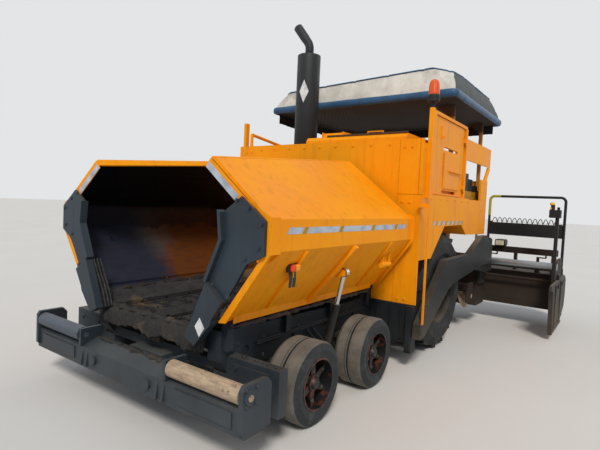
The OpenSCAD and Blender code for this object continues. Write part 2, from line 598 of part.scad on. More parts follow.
// Tractor body: front wall, side panels with arches, inner walls and decks
module tractor_body() {
  w = body_half_w;
  t = panel_t;
  fy = front_wall_y;
  back = fy + t + 0.3;
  arch = [[2960, 1110], [3030, 1106], [3421, 1448], [4058, 1456], [4265, 1326], [rear_wall_y - 26, 1310]];
  color("#f59a0b") {
    // Front wall with its seams, over the conveyors' way
    box([-996, fy, 1050], [996, fy + t, front_top_z]);
    // Flow gates at the conveyors' way
    both() box([60, fy - 12.3, 955], [690, fy - 0.3, 1150]);
    both() for (x = [180, 560]) box([x, fy - 30, 1000], [x + 20, fy - 12.6, 1250]);
    both() {
      box([frame_x + 3, fy, front_wall_low_z], [996, fy + t, 1046.7]);
      box([999, fy, front_wall_low_z], [w, fy + t, 1776]);
      box([999, fy, 1780], [w - 36, fy + t, front_top_z]);
      box([w - 32, fy, 1780], [w, fy + t, front_top_z]);
      // Side panel in plates round the arch
      side_plate([[back, 1110], [2929.7, 1110], [2929.7, 2300], [back, 2300]], w - t, t);
      side_plate([[2930, 1110], [3030, 1106], [3420.7, 1448], [3420.7, 1790], [2930, 1790]], w - t, t);
      side_plate([[3421, 1448], [4057.7, 1456], [4057.7, 1790], [3421, 1790]], w - t, t);
      side_plate([[4058, 1456], [4265, 1326], [4289.7, 1325.6], [4289.7, 1790], [4058, 1790]], w - t, t);
      side_plate([[4290, 1325.6], [4849.7, 1316], [4849.7, 1780], [4290, 1780]], w - t, t);
      side_plate([[4850, 1316], [rear_wall_y - 10, 1310], [rear_wall_y - 10, 2071], [4850, 2071]], w - t, t);
      // Wheelhouse roof, following the arch, and its inner wall
      for (k = [0:4]) side_plate([[arch[k][0] + 0.2, arch[k][1]], [arch[k + 1][0] - 0.2, arch[k + 1][1]],
        [arch[k + 1][0] - 0.2, arch[k + 1][1] + 15], [arch[k][0] + 0.2, arch[k][1] + 15]],
        frame_x + 12.3, w - t - frame_x - 12.6);
      side_plate([[back, 690], [4640, 690], [4739, 1044.7], [4739, 1460], [back, 1460]], frame_x, 12);
      side_plate([[4739.3, 1045], [rear_wall_y - 26, 1045], [rear_wall_y - 26, 1460], [4739.3, 1460]], frame_x, 12);
      // Sides of the engine housing and the decks over the wheels
      box([house_x - 20, back, 1790.3], [house_x, 4010, hood_z - 15.3]);
      box([house_x - 20, back, 1775], [w - t - 0.3, 4300, 1790]);
      // Tall post in front, and the depth bar that hangs outside the tow arm
      box([w + 0.3, 2760, 1750], [w + 42, 2820, 2660]);
      box([arm_x + arm_t + side_gap, 2602, 486], [arm_x + arm_t + side_gap + 16, 2625, 1690]);
      box([w + 0.3, 2602, 1650], [arm_x + arm_t + side_gap - 0.3, 2625, 1690]);
      box([w + 0.3, 2625.3, 1650], [w + 12, 2720, 1690]);
      // Frame of the louvres in the housing's side
      box([house_x + 0.3, 3150, 1850], [house_x + 12, 3162, 2180]);
      box([house_x + 0.3, 3788, 1850], [house_x + 12, 3800, 2180]);
      for (k = [0:7]) box([house_x + 0.3, 3162.3, 1860 + 40 * k], [house_x + 10, 3787.7, 1878 + 40 * k]);
    }
    // Top of the engine housing round the opening under its lid, and its back
    box([-house_x, back, hood_z - 15], [-190.3, 4010, hood_z]);
    box([1030.3, back, hood_z - 15], [house_x, 4010, hood_z]);
    box([-190, back, hood_z - 15], [1030, 2800, hood_z]);
    box([-190, 3700, hood_z - 15], [1030, 4010, hood_z]);
    box([20.3 - house_x, 3990, 1560.3], [house_x - 20.3, 4010, hood_z - 15.3]);
    // Fixed knuckles and pins of the hood's hinges
    for (x = hood_hinge_xs) {
      for (k = [x - 30, x + 66]) {
        x_cyl(k, k + 24, hood_hinge_y, hood_hinge_z, 11, 24);
        box([k, hood_hinge_y - 8, hood_z - 5], [k + 24, hood_hinge_y + 8, hood_hinge_z]);
      }
      x_cyl(x - 30, x + 90, hood_hinge_y, hood_hinge_z, 6, 24);
    }
  }
}
module engine_block() {
  color("#55585c") {
    box([-350, 2900, 1000], [450, 3900, 1800]);
    box([0.3 - frame_x, 3150, 960], [frame_x - 0.3, 3230, 1040]);
    box([0.3 - frame_x, 3700, 960], [frame_x - 0.3, 3780, 1040]);
  }
}
hood_hinge_y = 3800;
hood_hinge_z = hood_z + 17;
hood_hinge_xs = [-120, 900];
module engine_hood() {
  y0 = front_wall_y + panel_t + 6;
  y1 = hood_hinge_y - 18;
  z0 = hood_z + 6;
  // Sheets of the lid as [y, z] quads: front, fold, top, slope and rear
  sheets = [[[y0, z0], [y0 + 12, z0], [y0 + 12, z0 + 93], [y0, z0 + 93]],
    [[y0, z0 + 93.5], [y0 + 12, z0 + 93.5], [y0 + 34, z0 + 122], [y0 + 30, z0 + 134]],
    [[y0 + 34.5, z0 + 122], [3299.8, z0 + 122], [3299.8, z0 + 134], [y0 + 30.5, z0 + 134]],
    [[3300.1, z0 + 122], [y1, z0 + 82], [y1, z0 + 94], [3300.1, z0 + 134]],
    [[y1 - 12, z0], [y1, z0], [y1, z0 + 81.5], [y1 - 12, z0 + 81.5]]];
  side = [[y0, z0], [y1, z0], [y1, z0 + 94], [3300, z0 + 134], [y0 + 30, z0 + 134], [y0, z0 + 94]];
  color("#f7a21c") {
    for (x = [-215, 1038]) side_plate(side, x, 12);
    for (q = sheets) side_plate(q, -202.7, 1240.4);
    // Louvred hatch on the lid, and the lid's handle
    for (x = [-196, 94]) box([x, 2990, z0 + 134.3], [x + 10, 3290, z0 + 240]);
    for (k = [0:5]) side_plate([[2992 + 48 * k, z0 + 138], [3000 + 48 * k, z0 + 138], [3050 + 48 * k, z0 + 236],
      [3042 + 48 * k, z0 + 236]], -185.7, 279.4);
    for (x = [560, 740]) box([x, y0 + 60, z0 + 134.3], [x + 12, y0 + 72, z0 + 170]);
    box([560, y0 + 60, z0 + 170.3], [752, y0 + 72, z0 + 182]);
    // Turning knuckles of the hinges
    for (x = hood_hinge_xs) difference() {
      union() {
        x_cyl(x, x + 60, hood_hinge_y, hood_hinge_z, 11, 24);
        box([x, y1 - 0.5, hood_hinge_z - 5], [x + 60, hood_hinge_y, hood_hinge_z + 9]);
      }
      x_cyl(x - 1, x + 61, hood_hinge_y, hood_hinge_z, 6 + run_gap, 24);
    }
  }
}
module side_door() {
  g = guard_x;
  color("#f59a0b") difference() {
    union() {
      box([g - 30, 3088, 1800], [g, 4120, 2650]);
      // Raised inner panel, latch bar on two stands, and a hook
      box([g - 1, 3402, 1880], [g + 12, 3985, 2286]);
      rod([g + 28, 3560, 2085], [g + 28, 4070, 2085], 9, 16);
      for (y = [3620, 3900]) box([g + 10, y, 2076], [g + 32, y + 14, 2094]);
      box([g - 1, 3280, 2430], [g + 14, 3300, 2560]);
      box([g + 12, 3280, 2430], [g + 40, 3300, 2446]);
      // Turning knuckles of the hinge
      for (z = door_hinge_zs) {
        translate([g + 22, door_hinge_y, z]) cylinder(r = 12, h = 60, $fn = 24);
        box([g - 1, 4100, z], [g + 22, door_hinge_y, z + 60]);
      }
    }
    // Rounded slots above and below the inner panel, and the gap at its front edge
    for (z = [1838, 2330]) {
      box([g - 40, 3400, z - 17], [g + 20, 3880, z + 17]);
      for (y = [3400, 3880]) x_cyl(g - 40, g + 20, y, z, 17, 24);
    }
    box([g - 40, 3374, 1900], [g + 5, 3400, 2266]);
    for (z = door_hinge_zs) translate([g + 22, door_hinge_y, z - 1]) cylinder(r = 6 + run_gap, h = 62, $fn = 24);
  }
}
door_hinge_y = 4136;
door_hinge_zs = [1900, 2480];
module exhaust_stack() {
  color("#1d1f22") translate([-stack_x, stack_y, 0]) {
    translate([0, 0, hood_z + 0.3]) cylinder(r = 110, h = 90);
    translate([0, 0, hood_z + 90]) cylinder(r = muffler_r, h = muffler_top_z - hood_z - 90);
    for (z = [hood_z + 190, (hood_z + muffler_top_z) / 2, muffler_top_z - 110]) translate([0, 0, z])
      cylinder(r = muffler_r + 7, h = 34);
    translate([0, 0, muffler_top_z - 1]) cylinder(r1 = 120, r2 = outlet_r + 10, h = 60);
    translate([0, 0, muffler_top_z + 20]) cylinder(r = outlet_r + 4, h = 240);
    translate([-160, 0, muffler_top_z + 250]) rotate([90, 0, 0]) rotate_extrude(angle = 50)
      translate([160, 0]) circle(r = outlet_r, $fn = 32);
    translate([-160, 0, muffler_top_z + 250]) rotate([0, -46, 0]) translate([160, 0, 0])
      cylinder(r = outlet_r + 3, h = 140, $fn = 32);
  }
}
module operator_platform() {
  w = body_half_w - panel_t - 0.3;
  g = guard_x;
  color("#f59a0b") {
    box([-w, 4010.3, 1540], [w, rear_wall_y - 25.3, 1560]);
    box([-w, rear_wall_y - 25, 1341.5], [w, rear_wall_y, 2071]);
    // Long rail of the left side with its strut
    box([g - 20, 4200.3, 2290], [g, 5480, 2556]);
    box([g - 40, 4156, 1790.3], [g + 24, 4200, 2657.7]);
    rod([g - 10, 5430, 2268], [g - 10, 5212, 2020], 26);
    // Frame of the tall side guard
    box([g - 49.7, 3020, 1790.3], [g + 15, 3080, 2657.7]);
    box([g - 49.7, 3020, 2658], [g + 15, 4200, 2692]);
    // Fixed knuckles and pins of the side door's hinge
    for (z = door_hinge_zs) {
      for (k = [z - 26, z + 66]) {
        translate([g + 22, door_hinge_y, k]) cylinder(r = 12, h = 20, $fn = 24);
        box([g + 10, door_hinge_y, k], [g + 22, 4158, k + 20]);
      }
      translate([g + 22, door_hinge_y, z - 26]) cylinder(r = 6, h = 112, $fn = 24);
    }
    // Rail of the right side
    rod([30 - house_x, 2730, 2500], [30 - house_x, 3745, 2380], 20);
    rod([30 - house_x, 2730, hood_z + 0.3], [30 - house_x, 2730, 2505], 20);
    rod([30 - house_x, 3745, hood_z + 0.3], [30 - house_x, 3745, 2390], 20);
    rod([30 - house_x, 4335, 1560.3], [30 - house_x, 4335, 2560], 20);
    rod([30 - house_x, 4960, 1560.3], [30 - house_x, 4960, 2560], 20);
    rod([30 - house_x, 4335, 2555], [30 - house_x, 4960, 2555], 20);
    // Stiffening ribs and steps on the rear wall
    for (x = [-560, 560]) box([x - 20, rear_wall_y + 0.3, 1360], [x + 20, rear_wall_y + 30, 2050]);
    for (z = [1400, 1700]) {
      box([-220, rear_wall_y + 0.3, z], [220, rear_wall_y + 120, z + 12]);
      for (x = [-234, 220.3]) box([x, rear_wall_y + 0.3, z - 20], [x + 13.7, rear_wall_y + 120, z + 30]);
    }
    // Ears and pins of the lift cylinders
    both() {
      for (x = [lift_x - 46, lift_x + 32]) box([x, rear_wall_y + 0.3, 1940], [x + 14, lift_top[0] + 35, 2020]);
      x_cyl(lift_x - 46, lift_x + 46, lift_top[0], lift_top[1], 20);
    }
  }
}
module operator_seats() {
  x0 = post_x - 515;
  color("#222326") both() translate([x0, 0, 0]) {
    box([0, 4550, 1760.3], [400, 4980, 1860]);
    side_plate([[4905, 1860.3], [4995, 1860.3], [5040, 2300], [4960, 2300]], 0, 400);
    box([90, 4650, 1560.3], [310, 4880, 1760]);
    for (x = [-52, 402]) {
      box([x, 4640, 1990], [x + 50, 4930, 2030]);
      box([x + 15, 4850, 1800], [x + 35, 4890, 1989.7]);
    }
  }
}
module control_console() {
  wheel_x = post_x - 405;
  color("#2c2d30") {
    side_plate([[4070, 1560.3], [4240, 1560.3], [4280, 1980], [4230, 2080], [4070, 2080]], -900, 1800);
    // Hood and instrument boxes on top
    side_plate([[4070, 2080.3], [4200, 2080.3], [4160, 2200], [4070, 2200]], wheel_x - 220, 440);
    side_plate([[4070, 2080.3], [4200, 2080.3], [4160, 2170], [4070, 2170]], -820, 440);
    translate([wheel_x, 4300, 2110]) rotate([-30, 0, 0]) {
      rotate_extrude($fn = 48) polygon([[158, 0], [164, -12], [176, -12], [182, 0], [176, 12], [164, 12]]);
      for (k = [0:2]) rotate([0, 0, 120 * k]) translate([0, -9, -6]) cube([164, 18, 12]);
    }
    rod([wheel_x, 4240, 2000], [wheel_x, 4300, 2112], 18);
    // Levers with their knobs
    for (x = [-640, -560, -480, -300]) {
      rod([x, 4215, 2060], [x, 4225, 2230], 7, 16);
      translate([x, 4225, 2235]) sphere(r = 20, $fn = 16);
    }
  }
}
module canopy_frame() {
  edge = canopy_half_w - 25.3;
  y0 = canopy_front_y + 25.3;
  y1 = canopy_rear_y - 25.3;
  z0 = canopy_low_z + 20;
  ribs = [y0, 3835, 4480, 5119, y1 - 45];
  color("#6b5a4a") {
    // Posts with their foot plates
    for (x = [-post_x - 45, post_x]) {
      box([x, 3835, hood_z + 12.6], [x + 45, 3880, z0 - 0.3]);
      box([x, 5119, 1572.6], [x + 45, 5164, z0 - 0.3]);
      box([max(x - 40, 1 - house_x), 3800, hood_z + 0.3], [min(x + 85, house_x - 1), 3915, hood_z + 12.3]);
      box([x - 40, 5060, 1560.3], [x + 65, 5164, 1572.3]);
    }
    // Edge beams, cross ribs and corner gussets below the cover
    for (x = [-edge, edge - 45]) box([x, y0, z0], [x + 45, y1, z0 + 40]);
    for (y = ribs) box([45.3 - edge, y, z0], [edge - 45.3, y + 45, z0 + 40]);
    for (s = [-1, 1]) for (y = [3850, 5135]) cross_plate([[s * (post_x - 0.3), z0 - 170],
      [s * (post_x - 0.3), z0 - 0.3], [s * (post_x - 170), z0 - 0.3]], y, 14);
  }
}
module canopy_cover() {
  w = canopy_half_w;
  f = canopy_front_y;
  r = canopy_rear_y;
  color("#b9b2a3") difference() {
    hull() {
      box([-w, f, canopy_low_z], [w, r, canopy_low_z + 110]);
      box([-w + 90, f + 70, canopy_top_z - 10], [w - 90, r - 70, canopy_top_z]);
    }
    hull() {
      box([-w + 25, f + 25, canopy_low_z - 5], [w - 25, r - 25, canopy_low_z + 104]);
      box([-w + 110, f + 90, canopy_top_z - 35], [w - 110, r - 90, canopy_top_z - 25]);
    }
  }
}
module beacon() {
  color("#f2600c") translate([body_half_w + 21, 2790, 0]) {
    translate([0, 0, 2660.3]) cylinder(r = 20, h = 60);
    translate([0, 0, 2718]) cylinder(r = 62, h = 74);
    translate([0, 0, 2790]) cylinder(r = 54, h = 105);
    translate([0, 0, 2894]) cylinder(r1 = 54, r2 = 26, h = 50);
  }
}
module oil_filters() {
  g = guard_x;
  color("#1b1c1f") {
    // Cabinet with the filter box, two filters and the valve block
    box([g - 132, 4330, 1560.3], [g - 40, 4830, 1829.7]);
    box([g - 136, 4336, 1830], [g - 42, 4560, 2130]);
    for (y = [4640, 4750]) {
      translate([g - 88, y, 1830]) cylinder(r = 42, h = 190);
      translate([g - 88, y, 2018]) cylinder(r = 46, h = 46);
    }
    box([g - 136, 4940, 1560.3], [g - 52, 5046, 1990]);
    for (z = [1700, 1800, 1900]) x_cyl(g - 54, g - 26, 4990, z, 18, 24);
  }
}
module auger_frame() {
  color("#2b2d31") difference() {
    union() {
      box([-30, 4550.3, 300], [30, 4690, 700]);
      box([-30, 4600, 420], [30, auger_y, 480]);
      x_cyl(-30, 30, auger_y, auger_z, 80);
      both() {
        box([frame_x - frame_w, frame_rear_y + 0.3, 560], [body_half_w - 10, frame_rear_y + 40, 640]);
        box([auger_out_x + 12, frame_rear_y, auger_z - 60], [auger_out_x + 34, auger_y + 60, 640]);
      }
    }
    x_cyl(-40, 40, auger_y, auger_z, 30 + run_gap);
    both() x_cyl(auger_out_x, auger_out_x + 50, auger_y, auger_z, 30 + run_gap);
  }
}
module auger(side) {
  pitch = (auger_out_x - 90) / auger_turns;
  color("#6a4a34") mirror_x(side < 0) {
    x_cyl(4, auger_out_x + 36, auger_y, auger_z, 30);
    x_cyl(45, auger_out_x - 10, auger_y, auger_z, 45);
    for (k = [0:auger_turns * 8 - 1])
      translate([60 + k * pitch / 8, auger_y, auger_z]) rotate([k * 45, 0, 0])
        rotate([0, 90, 0]) linear_extrude(height = pitch / 8 + 6) polygon([[40, -4], [auger_r, -8],
          [auger_r * 0.74, auger_r * 0.68], [30, 32]]);
  }
}

// Tow arms with their gussets, fixed to the screed body
arm_pts = [[2600, 330], [2720, 330], [3430, 740], [3630, 800], [4490, 865], [5020, 780], [5330, 780],
  [5330, 1120], [5000, 1300], [4790, 1300], [4220, 1085], [3290, 1075], [2600, 480]];
module tow_arms() {
  side_in = body_half_w - 19.7;
  color("#24272b") both() {
    // Arm in three lengths
    side_plate([[2600, 330], [2720, 330], [3429.7, 740], [3289.7, 1075], [2600, 480]], arm_x, arm_t);
    side_plate([[3430, 740], [3630, 790], [4489.7, 865], [4219.7, 1085], [3290, 1075]], arm_x, arm_t);
    side_plate([[4490, 865], [5020, 780], [5330, 780], [5330, 1120], [5000, 1300], [4790, 1300], [4220, 1085]],
      arm_x, arm_t);
    // Tow pin with its cap
    x_cyl(body_half_w - 65, arm_x - 0.3, tow_y, tow_z, tow_pin_r);
    x_cyl(arm_x + arm_t + 0.3, arm_x + arm_t + 5.5, tow_y, tow_z, 48, 32);
    // Stiffening strip along the arm's outer face
    side_plate([[4560, 900], [5250, 870], [5250, 895], [4560, 925]], arm_x + arm_t + 0.3, 7);
    // Pin of the lift cylinder and its boss
    x_cyl(lift_x - 28, lift_x + 36, lift_arm[0], lift_arm[1], 20);
    x_cyl(lift_x + 34, arm_x - 0.3, lift_arm[0], lift_arm[1], 40);
    box([side_in, screed_front_y + 20, 600], [arm_x - 0.3, 5320, 1000]);
    // Levelling box at the arm's rear end with its shackle
    side_plate([[5190, 1200.3], [5330, 1126.3], [5330, 1230], [5230, 1260], [5190, 1260]], arm_x + 4, arm_t - 8);
  }
}
module screed_body() {
  y0 = screed_front_y;
  y1 = y0 + screed_d;
  x = body_half_w - 20;
  top = sole_z + screed_h;
  color("#3b2f29") {
    difference() {
      side_plate([[y0 + 30, sole_z], [y1, sole_z], [y1, top], [y0 + 60, top],
        [y0, sole_z + 120], [y0, sole_z + 20]], -x, 2 * x);
      for (s = [-1, 1]) side_plate([[y0 + 50, sole_z + 25], [y1 - 15, sole_z + 25],
        [y1 - 15, top - 15], [y0 + 72, top - 15], [y0 + 20, sole_z + 120]],
        s > 0 ? 30 : -x + 20, x - 50);
    }
    // Crown adjuster over the middle and the cover plates on top
    for (k = [-1, 1]) box([k * 120 - 12, y0 + 120, top + 0.3], [k * 120 + 12, y1 - 60, top + 110]);
    x_cyl(-107.7, 107.7, y0 + 230, top + 70, 26, 24);
    both() {
      for (p = [260, 620]) box([p, y0 + 75, top + 0.3], [p + 340, y1 - 15, top + 14]);
      for (p = [330, 690]) x_cyl(p, p + 180, y0 + 150, top + 34, 10, 16);
      // Ribs and rim on the rear face
      for (p = [80, 480, 880]) box([p, y1 + 0.3, sole_z + 30], [p + 16, y1 + 40, sole_z + 330]);
      // Sleeves of the guide tubes and their saddles
      difference() {
        x_cyl(700, body_half_w - 26, guide_y, guide_z, guide_r + 22);
        x_cyl(690, body_half_w - 16, guide_y, guide_z, guide_r + run_gap);
      }
      for (q = [720, body_half_w - 54]) difference() {
        x_cyl(q, q + 30, guide_y, guide_z, guide_r + 34);
        x_cyl(q - 1, q + 31, guide_y, guide_z, guide_r + 22.3);
      }
      for (p = [760, body_half_w - 120]) difference() {
        box([p, y1 - 120, top + 0.3], [p + 60, guide_y, guide_z + 40]);
        x_cyl(p - 5, p + 65, guide_y, guide_z, guide_r + 22.3);
      }
      // Barrels of the extension cylinders with their brackets
      difference() {
        union() {
          x_cyl(ext_cyl_x0, ext_cyl_x1, guide_y, ext_cyl_z, 36, 32);
          for (p = [ext_cyl_x0, ext_cyl_x1 - 50]) box([p, y1 + 0.3, ext_cyl_z - 50], [p + 20, guide_y, ext_cyl_z + 50]);
        }
        x_cyl(ext_cyl_x0 + 40, ext_cyl_x1 + 5, guide_y, ext_cyl_z, ext_rod_r + run_gap, 32);
      }
    }
  }
}
// Cylinders that run the extensions in and out
ext_cyl_x0 = 150;
ext_cyl_x1 = body_half_w - 100;
ext_cyl_z = 690;
ext_rod_r = 18;
ext_in_x = ext_out_x - ext_len;
module extension(side) {
  y0 = guide_y + guide_r + 22 + side_gap;
  y1 = y0 + ext_d;
  top = sole_z + 500;
  color("#3e3029") mirror_x(side < 0) {
    difference() {
      side_plate([[y0 - 10, sole_z], [y1, sole_z], [y1, top], [y0 + 30, top],
        [y0 - 10, sole_z + 100]], ext_in_x, ext_len);
      side_plate([[y0 + 12, sole_z + 25], [y1 - 15, sole_z + 25], [y1 - 15, top - 15],
        [y0 + 42, top - 15], [y0 + 10, sole_z + 100]], ext_in_x + 15, ext_len - 30);
    }
    // Rear upper beam on risers
    box([ext_in_x + 20, y0 + 230, 1020], [ext_out_x - 2.3, y0 + 330, 1110]);
    for (x = [ext_in_x + 60, ext_in_x + 560, ext_out_x - 80])
      box([x, y0 + 240, top + 0.3], [x + 40, y0 + 320, 1019.7]);
    // Height spindles with their cranks
    for (x = [ext_in_x + 240, ext_out_x - 240]) {
      translate([x, y0 + 130, top + 0.3]) cylinder(r = 34, h = 60);
      translate([x, y0 + 130, top + 60]) cylinder(r = 20, h = 170);
      rod([x, y0 + 130, top + 222], [x + 110, y0 + 130, top + 222], 9, 16);
      translate([x + 104, y0 + 130, top + 220]) cylinder(r = 11, h = 60, $fn = 16);
    }
    // Guide tube, cylinder rod and the outer plate that carries them
    x_cyl(ext_out_x - 1200, ext_out_x - 2.3, guide_y, guide_z, guide_r);
    x_cyl(ext_cyl_x1 - 130, ext_out_x - 2.3, guide_y, ext_cyl_z, ext_rod_r, 24);
    side_plate([[5340, 302], [y1, 302], [y1, 719.7], [5340, 719.7]], ext_out_x - 2, 40);
    side_plate([[guide_y - 90, 720], [y1, 720], [y1, guide_z + 90], [guide_y - 90, guide_z + 90]], ext_out_x - 2, 40);
    // Pins that the end plate hangs and slides on
    for (y = plate_pin_ys) {
      x_cyl(ext_out_x + 38.3, ext_out_x + 84, y, 640, 15, 24);
      x_cyl(ext_out_x + 80, ext_out_x + 86, y, 640, 30, 24);
    }
    // Walkway behind the extension on brackets
    box([ext_in_x + 20, y1 + 0.3, 700], [ext_out_x + 37.7, tail_y - 20, 730]);
    for (x = [ext_in_x + 40, ext_in_x + 420, ext_in_x + 800, ext_out_x - 60])
      side_plate([[y1 + 0.3, 420], [y1 + 60, 420], [tail_y - 60, 660], [tail_y - 60, 699.7], [y1 + 0.3, 699.7]], x, 12);
    box([ext_in_x + 20, tail_y - 34, 730.3], [ext_out_x + 30, tail_y - 20, 800]);
  }
}
plate_pin_ys = [5480, 5900];
module end_plate(side) {
  x0 = ext_out_x + 44;
  color("#26282b") mirror_x(side < 0) difference() {
    union() {
      side_plate([[4930, 70], [5900, 70], [tail_y - 60, 240], [tail_y, 400], [tail_y, 640], [6240, 720],
        [4850, 720], [4800, 660]], x0, end_t);
      // Thick front edge, stiffening strips and the shoe along the ground edge
      side_plate([[4800, 660], [4932, 70], [4985, 70], [4856, 690]], x0 + end_t - 1, 22);
      for (y = [5190, 5700]) box([x0 + end_t - 1, y, 110], [x0 + end_t + 14, y + 30, 690]);
      box([x0 + end_t - 1, 4950, 70], [x0 + end_t + 16, 5880, 104]);
      box([x0 + 4, 5560, 718], [x0 + end_t - 4, 5680, 790]);
    }
    x_cyl(x0 - 5, x0 + end_t + 25, 5620, 762, 16, 24);
    for (y = plate_pin_ys) {
      box([x0 - 5, y - 15.5, 380], [x0 + end_t + 25, y + 15.5, 640]);
      x_cyl(x0 - 5, x0 + end_t + 25, y, 640, 15.5, 24);
      x_cyl(x0 - 5, x0 + end_t + 25, y, 380, 15.5, 24);
    }
  }
}
module end_frame(side) {
  x0 = ext_out_x + 38;
  xa = ext_in_x + 80;
  bend = 70;
  color("#26282b") mirror_x(side < 0) {
    // Front post with its control box and knob
    box([x0 - 44, 5350, 720.3], [x0, 5395, 1589.7]);
    box([x0 - 120, 5320, 1590], [x0 + 20, 5430, 1700]);
    for (k = [0, 1]) translate([x0 - 85 + 70 * k, 5375, 1698]) cylinder(r = 26 - 8 * k, h = 70 - 30 * k, $fn = 24);
    // Railing with rounded corners, its middle bar and dark panel
    rod([x0 - 20, 6220, 730.3], [x0 - 20, 6220, 1895 - bend], 20);
    rod([xa, 6220, 730.3], [xa, 6220, 1895 - bend], 20);
    rod([xa + bend, 6220, 1895], [x0 - 20 - bend, 6220, 1895], 20);
    for (q = [[xa + bend, 90], [x0 - 20 - bend, 0]]) translate([q[0], 6220, 1895 - bend])
      rotate([90, 0, 0]) rotate([0, 0, q[1]]) rotate_extrude(angle = 90) translate([bend, 0]) circle(r = 20, $fn = 24);
    box([xa + 20.3, 6207, 1270], [x0 - 40.3, 6233, 1470]);
  }
}
module spiral_cable() {
  color("#141414") x_cyl(ext_in_x + 130, ext_out_x - 60, 6220, 1470 + 42.3, 42);
}

// Lift cylinders between the body's rear wall and the tow arms
lift_top = [5290, 1980];
lift_arm = [5245, 1100];
lift_len = norm(lift_top - lift_arm);
lift_ang = atan2(lift_arm[0] - lift_top[0], lift_top[1] - lift_arm[1]);
lift_x = body_half_w - 120;
module at_lift() { translate([0, lift_top[0], lift_top[1]]) rotate([lift_ang, 0, 0]) children(); }
module lift_barrels() {
  color("#3a3d42") both() difference() {
    union() {
      at_lift() translate([lift_x, 0, -560]) cylinder(r = 46, h = 460, $fn = 32);
      at_lift() translate([lift_x, 0, -130]) cylinder(r = 22, h = 110, $fn = 24);
      x_cyl(lift_x - 24, lift_x + 24, lift_top[0], lift_top[1], 40, 32);
    }
    at_lift() translate([lift_x, 0, -570]) cylinder(r = 24 + run_gap, h = 440, $fn = 32);
    x_cyl(lift_x - 30, lift_x + 30, lift_top[0], lift_top[1], 20 + run_gap, 32);
  }
}
module lift_rods() {
  color("#c9ccd0") both() difference() {
    union() {
      at_lift() translate([lift_x, 0, -lift_len + 40]) cylinder(r = 24, h = lift_len - 300, $fn = 32);
      x_cyl(lift_x - 22, lift_x + 22, lift_arm[0], lift_arm[1], 46, 32);
    }
    x_cyl(lift_x - 30, lift_x + 30, lift_arm[0], lift_arm[1], 34, 32);
  }
}

place() chassis_frame();
place() bogie_beams();
place() rear_axle();
place() hopper_floor();
place() conveyors();
place() front_apron();
place() tractor_body();
place() engine_block();
place() engine_hood();
place() side_door();
place() exhaust_stack();
place() operator_platform();
place() operator_seats();
place() control_console();
place() canopy_frame();
place() canopy_cover();
place() beacon();
place() oil_filters();
place() auger_frame();
place() wing(1);  // wing_left
place() wing(-1);  // wing_right
place() wing_plate(1);  // wing_plate_left
place() wing_plate(-1);  // wing_plate_right
place() wing_barrel(1);  // wing_barrel_left
place() wing_barrel(-1);  // wing_barrel_right
place() wing_rod(1);  // wing_rod_left
place() wing_rod(-1);  // wing_rod_right
place() push_beam();
place() push_roller(1);  // push_roller_left
place() push_roller(-1);  // push_roller_right
place() knuckle(1, 0);  // knuckle_left_1
place() knuckle(1, 1);  // knuckle_left_2
place() knuckle(-1, 0);  // knuckle_right_1
place() knuckle(-1, 1);  // knuckle_right_2
place() front_wheel(1, 0);  // front_wheel_left_1
place() front_wheel(1, 1);  // front_wheel_left_2
place() front_wheel(-1, 0);  // front_wheel_right_1
place() front_wheel(-1, 1);  // front_wheel_right_2
place() rear_tyre(1);  // rear_tyre_left
place() rear_tyre(-1);  // rear_tyre_right
place() rear_rim(1);  // rear_rim_left
place() rear_rim(-1);  // rear_rim_right
place() auger(1);  // auger_left
place() auger(-1);  // auger_right
place() tow_arms();
place() screed_body();
place() extension(1);  // extension_left
place() extension(-1);  // extension_right
place() end_plate(1);  // end_plate_left
place() end_plate(-1);  // end_plate_right
place() end_frame(1);  // end_frame_left
place() end_frame(-1);  // end_frame_right
place() lift_barrels();
place() lift_rods();
place() spiral_cable();
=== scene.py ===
# Wheeled asphalt paver in Blender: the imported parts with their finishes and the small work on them
import math
import bmesh
import bpy
import numpy as np
from mathutils import Matrix, Vector


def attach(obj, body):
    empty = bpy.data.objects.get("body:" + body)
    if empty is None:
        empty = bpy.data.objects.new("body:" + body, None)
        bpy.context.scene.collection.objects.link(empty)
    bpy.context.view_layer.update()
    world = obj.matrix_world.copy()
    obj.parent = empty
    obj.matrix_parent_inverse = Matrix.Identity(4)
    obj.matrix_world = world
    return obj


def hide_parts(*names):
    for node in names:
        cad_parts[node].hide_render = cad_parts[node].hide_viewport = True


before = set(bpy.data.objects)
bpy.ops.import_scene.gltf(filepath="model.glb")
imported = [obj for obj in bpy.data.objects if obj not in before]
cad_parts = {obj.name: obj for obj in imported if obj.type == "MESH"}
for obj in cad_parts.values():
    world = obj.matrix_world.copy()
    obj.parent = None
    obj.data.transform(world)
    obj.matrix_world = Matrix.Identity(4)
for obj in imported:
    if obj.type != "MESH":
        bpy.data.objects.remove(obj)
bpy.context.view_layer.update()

# Yard and camera
# The machine stands on a pale smooth floor under soft light, seen from its front left corner
# as in the photograph: a wide lens at eye height, close to the hopper and tilted a little.


def lin(hexcode):
    """An sRGB hex colour as linear red, green, blue and alpha: each channel through the sRGB curve."""
    c = [int(hexcode[i:i + 2], 16) / 255 for i in (1, 3, 5)]
    return [x / 12.92 if x <= 0.04045 else ((x + 0.055) / 1.055) ** 2.4 for x in c] + [1.0]


def add(tree, kind, inputs=None, **settings):
    """Adds one shader node: settings are its own options, inputs its sockets, each a value or a socket to link."""
    node = tree.nodes.new(kind)
    for key, value in settings.items():
        setattr(node, key, value)
    for key, value in (inputs or {}).items():
        if isinstance(value, bpy.types.NodeSocket):
            tree.links.new(value, node.inputs[key])
        else:
            node.inputs[key].default_value = value
    return node


